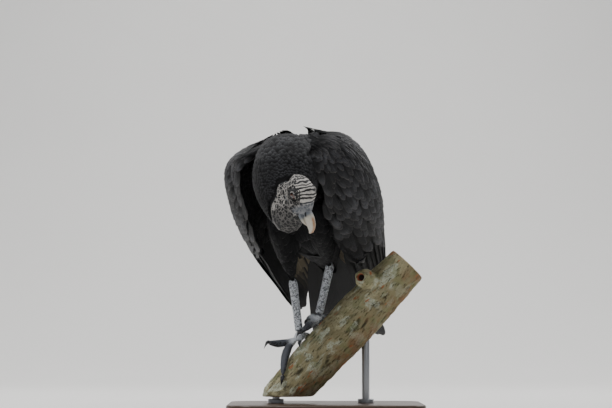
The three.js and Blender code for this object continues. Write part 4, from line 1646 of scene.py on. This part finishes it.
PERCH_LOW = 28.0  # height of the level cut
PERCH_HIGH = 196.0  # millimetres up the slope of the square cut
PERCH_VOXEL = 1.25
HOLLOW = {"place": (128, 40, 35), "way": (-4, 5, 9), "width": 6.5, "depth": 6.0}


def bark_relief(local, points):
    """Heights in mm of lumps, ridges and cracks, at places along, out and aside."""
    lump, crack = np.zeros(len(local)), np.zeros(len(local))
    for i, place in enumerate(local):
        run = Vector((place[0] * 0.45, place[1], place[2]))
        bent = run + noise.noise_vector(run * 0.06) * 5
        lump[i] = noise.fractal(bent * 0.045, 0.9, 2.2, 3)
        crack[i] = noise.ridged_multi_fractal(bent * 0.11, 0.8, 2.1, 4, 1.0, 2.0)
    return lump, crack


class VULTURE_OT_perch(bpy.types.Operator):
    """The cut length of branch"""

    bl_idname = "vulture.perch"
    bl_label = "Perch"

    def execute(self, context):
        settings = context.scene.vulture_stand
        piece = remeshed(cad_copy(["stand_perch"], "perch"), PERCH_VOXEL, smoothing=5)
        mesh = piece.data
        points, outward = corners(mesh), normals(mesh)
        local = PERCH.local(points)
        low = points[:, 2] / MM - PERCH_LOW
        high = PERCH_HIGH - local[:, 0]
        ends = 1 - smoothstep(0.6, 1.6, np.minimum(low, high))
        lump, crack = bark_relief(local, points)
        crack = np.clip((crack - crack.min()) / (np.percentile(crack, 98) - crack.min()), 0, 1)
        relief = (1.3 * lump + 2.4 * (crack - 0.6)) * (1 - ends)
        points += (relief * MM)[:, None] * outward
        way = unit(np.array(HOLLOW["way"], float))
        beside = local - HOLLOW["place"]
        ahead = beside @ way
        apart = np.linalg.norm(beside - ahead[:, None] * way, axis=1)
        hollow = (1 - smoothstep(0.5, 1, apart / HOLLOW["width"])) * (np.abs(ahead) < 12)
        points -= (hollow * HOLLOW["depth"] * MM)[:, None] * (way @ PERCH.directions)
        move_corners(mesh, points)
        paint(mesh, "hollow", hollow)
        radius = np.hypot(local[:, 1], local[:, 2])
        paint(mesh, "perch", local)
        paint(mesh, "bark", np.stack([lump, crack, ends], axis=1))
        paint(mesh, "radius", radius)
        finish(piece, ["stand_perch"], [bark_material(settings)])
        return {"FINISHED"}


def bark_material(settings):
    surface = Surface("bark", Specular_IOR_Level=0.25)
    lump, crack, ends = surface.split(surface.attribute("bark", 1))
    up, out, near = surface.split(surface.attribute("perch", 1))
    radius = surface.attribute("radius")
    place = surface.attribute("perch", 1)
    fine = surface.noise(place, 0.55, 6, 0.65)
    broad = surface.noise(place, 0.035, 4)
    patch = surface.noise(surface.node("CombineXYZ", {}, up * 0.5, out, near), 0.06, 5)
    bark = colour_of(settings.bark)
    # dark in the cracks: darker inner bark and painted shade
    colour = surface.mix(tuple(part * 0.2 for part in bark), bark, crack.step(0.1, 0.55))
    # painted sunlight: pale patches on the branch's upper side
    face = broad.step(0.35, 0.62) * out.step(-14, 16)
    colour = surface.mix(colour, (0.50, 0.46, 0.29), face * fine.step(0.3, 0.6))
    # painted shade: reddish brown darkening on the branch's underside
    under = out.step(4, -20)
    colour = surface.mix(colour, (0.23, 0.13, 0.065), under * broad.step(0.4, 0.6) * 0.85)
    lichen = patch.step(0.50, 0.58) * fine.step(0.35, 0.55) * (1 - 0.7 * under)
    colour = surface.mix(colour, colour_of(settings.lichen), lichen * 0.9)
    green = surface.noise(place, 0.05, 4).step(0.50, 0.62) * fine.step(0.3, 0.55)
    colour = surface.mix(colour, (0.20, 0.22, 0.10), green * 0.55)
    rust = surface.noise(surface.node("CombineXYZ", {}, up * 0.4, out, near), 0.085, 3)
    colour = surface.mix(colour, (0.38, 0.12, 0.045), rust.step(0.62, 0.68) * 0.85)
    # dark fissures: darker inner bark and painted shade in the furrows
    fissure = surface.noise(surface.node("CombineXYZ", {}, up * 0.22, out, near), 0.42, 5, 0.7)
    fissure = fissure.step(0.44, 0.36)
    colour = surface.mix(colour, tuple(part * 0.16 for part in bark), fissure * 0.85)
    hollow = surface.attribute("hollow")
    colour = surface.mix(colour, (0.30, 0.085, 0.04), hollow.step(0.02, 0.3))
    # painted shade: the hollow's deep middle painted near black
    colour = surface.mix(colour, (0.012, 0.006, 0.004), hollow.step(0.4, 0.9))
    wobble = surface.noise(place, 0.08, 3)
    rings = ((radius + wobble * 7) * (2 * math.pi / 2.3)).sine() * 0.5 + 0.5
    wood = surface.mix((0.40, 0.27, 0.15), (0.24, 0.15, 0.075), rings * fine.step(0.2, 0.7))
    wood = surface.mix(wood, (0.10, 0.065, 0.035), radius.step(33.0, 36.0))
    colour = surface.mix(colour, wood, ends)
    rough = 0.78 + 0.15 * fine
    return surface.finish(colour, rough, bump=[(broad, 1.2), (fine, 1.0), (1 - fissure, 0.8)])


# ---- stand ---------------------------------------------------------------------------


def base_material(settings):
    surface = Surface("base_wood", Coat_Weight=0.25, Coat_Roughness=0.2)
    place = surface.place(1000)
    x, y, z = surface.split(place)
    bend = surface.noise(place, 0.012, 3)
    lines = surface.noise(surface.node("CombineXYZ", {}, x * 0.03, y + bend * 40, z), 0.35, 5)
    pores = surface.noise(surface.node("CombineXYZ", {}, x * 0.08, y, z), 1.6, 4)
    wood = colour_of(settings.wood)
    colour = surface.mix(tuple(part * 0.5 for part in wood), tuple(part * 1.7 for part in wood), lines)
    colour = surface.mix(colour, tuple(part * 0.35 for part in wood), pores.step(0.40, 0.28))
    return surface.finish(colour, 0.32 + 0.2 * pores, bump=[(pores, 0.12), (lines, 0.1)])


def steel_material(settings):
    surface = Surface("rod_steel", Metallic=1.0)
    x, y, z = surface.split(surface.place(1000))
    brush = surface.noise(surface.node("CombineXYZ", {}, x * 2.0, y * 2.0, z * 0.06), 1.5, 3)
    colour = surface.mix(colour_of(settings.steel), (0.42, 0.43, 0.45), brush)
    return surface.finish(colour, 0.22 + 0.22 * brush, bump=[(brush, 0.03)])


def make_base(settings):
    low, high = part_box("stand_base")
    middle, size = (low + high) / 2, high - low
    shape = bmesh.new()
    bmesh.ops.create_cube(shape, size=1)
    bmesh.ops.scale(shape, verts=shape.verts, vec=size)
    bmesh.ops.translate(shape, verts=shape.verts, vec=middle)
    upright = [edge for edge in shape.edges if abs(edge.verts[0].co.z - edge.verts[1].co.z) > 1e-4]
    bmesh.ops.bevel(
        shape, geom=upright, offset=36 * MM, segments=14, profile=0.5, affect="EDGES", material=-1
    )
    rims = [
        edge
        for edge in shape.edges
        if edge.verts[0].co.z > high.z - 1e-5 and edge.verts[1].co.z > high.z - 1e-5
    ]
    bmesh.ops.bevel(
        shape, geom=rims, offset=3.2 * MM, segments=5, profile=0.5, affect="EDGES", material=-1
    )
    piece = from_bmesh(shape, "base_plate")
    finish(piece, ["stand_base"], [base_material(settings)])
    piece.data.set_sharp_from_angle(angle=math.radians(40))


def make_rod(name, settings, material):
    low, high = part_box(f"stand_rod_{name}")
    middle, radius = (low + high) / 2, (high.x - low.x) / 2
    shape = bmesh.new()
    collar, collar_height = 12.5 * MM, 6 * MM
    for size, start, end in ((radius, low.z, high.z), (collar, low.z, low.z + collar_height)):
        made = bmesh.ops.create_cone(
            shape, cap_ends=True, segments=64, radius1=size, radius2=size, depth=end - start
        )["verts"]
        bmesh.ops.translate(shape, verts=made, vec=(middle.x, middle.y, (start + end) / 2))
        rims = {edge for vert in made for edge in vert.link_edges if vert.co.z > end - 1e-5}
        rims = [edge for edge in rims if all(vert.co.z > end - 1e-5 for vert in edge.verts)]
        bmesh.ops.bevel(
            shape, geom=rims, offset=1.0 * MM, segments=3, profile=0.5, affect="EDGES", material=-1
        )
    piece = from_bmesh(shape, f"rod_{name}")
    finish(piece, [f"stand_rod_{name}"], [material])
    piece.data.set_sharp_from_angle(angle=math.radians(40))


class VULTURE_OT_stand(bpy.types.Operator):
    """The base and its rods"""

    bl_idname = "vulture.stand"
    bl_label = "Stand"

    def execute(self, context):
        settings = context.scene.vulture_stand
        make_base(settings)
        steel = steel_material(settings)
        for name in ("low", "high"):
            make_rod(name, settings, steel)
        return {"FINISHED"}


# ---- the whole -----------------------------------------------------------------------


class VULTURE_PT_panel(bpy.types.Panel):
    """The vulture's pieces"""

    bl_idname = "VULTURE_PT_panel"
    bl_label = "Black vulture"
    bl_space_type = "VIEW_3D"
    bl_region_type = "UI"
    bl_category = "Vulture"

    def draw(self, context):
        for operator in OPERATORS:
            self.layout.operator(operator.bl_idname)


SETTINGS = {
    "vulture_plumage": VulturePlumage,
    "vulture_skin": VultureSkin,
    "vulture_stand": VultureStand,
    "vulture_stage": VultureStage,
}
OPERATORS = (
    VULTURE_OT_stage,
    VULTURE_OT_skin,
    VULTURE_OT_coat,
    VULTURE_OT_wings,
    VULTURE_OT_tail,
    VULTURE_OT_bill,
    VULTURE_OT_eyes,
    VULTURE_OT_claws,
    VULTURE_OT_perch,
    VULTURE_OT_stand,
)


def register():
    for made in (*SETTINGS.values(), *OPERATORS, VULTURE_PT_panel):
        bpy.utils.register_class(made)
    for name, group in SETTINGS.items():
        setattr(bpy.types.Scene, name, PointerProperty(type=group))


def unregister():
    for name in SETTINGS:
        delattr(bpy.types.Scene, name)
    for made in (VULTURE_PT_panel, *reversed(OPERATORS), *reversed(SETTINGS.values())):
        bpy.utils.unregister_class(made)


def main():
    register()
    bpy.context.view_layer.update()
    for operator in OPERATORS:
        group, call = operator.bl_idname.split(".")
        getattr(getattr(bpy.ops, group), call)()


if __name__ == "__main__":
    main()
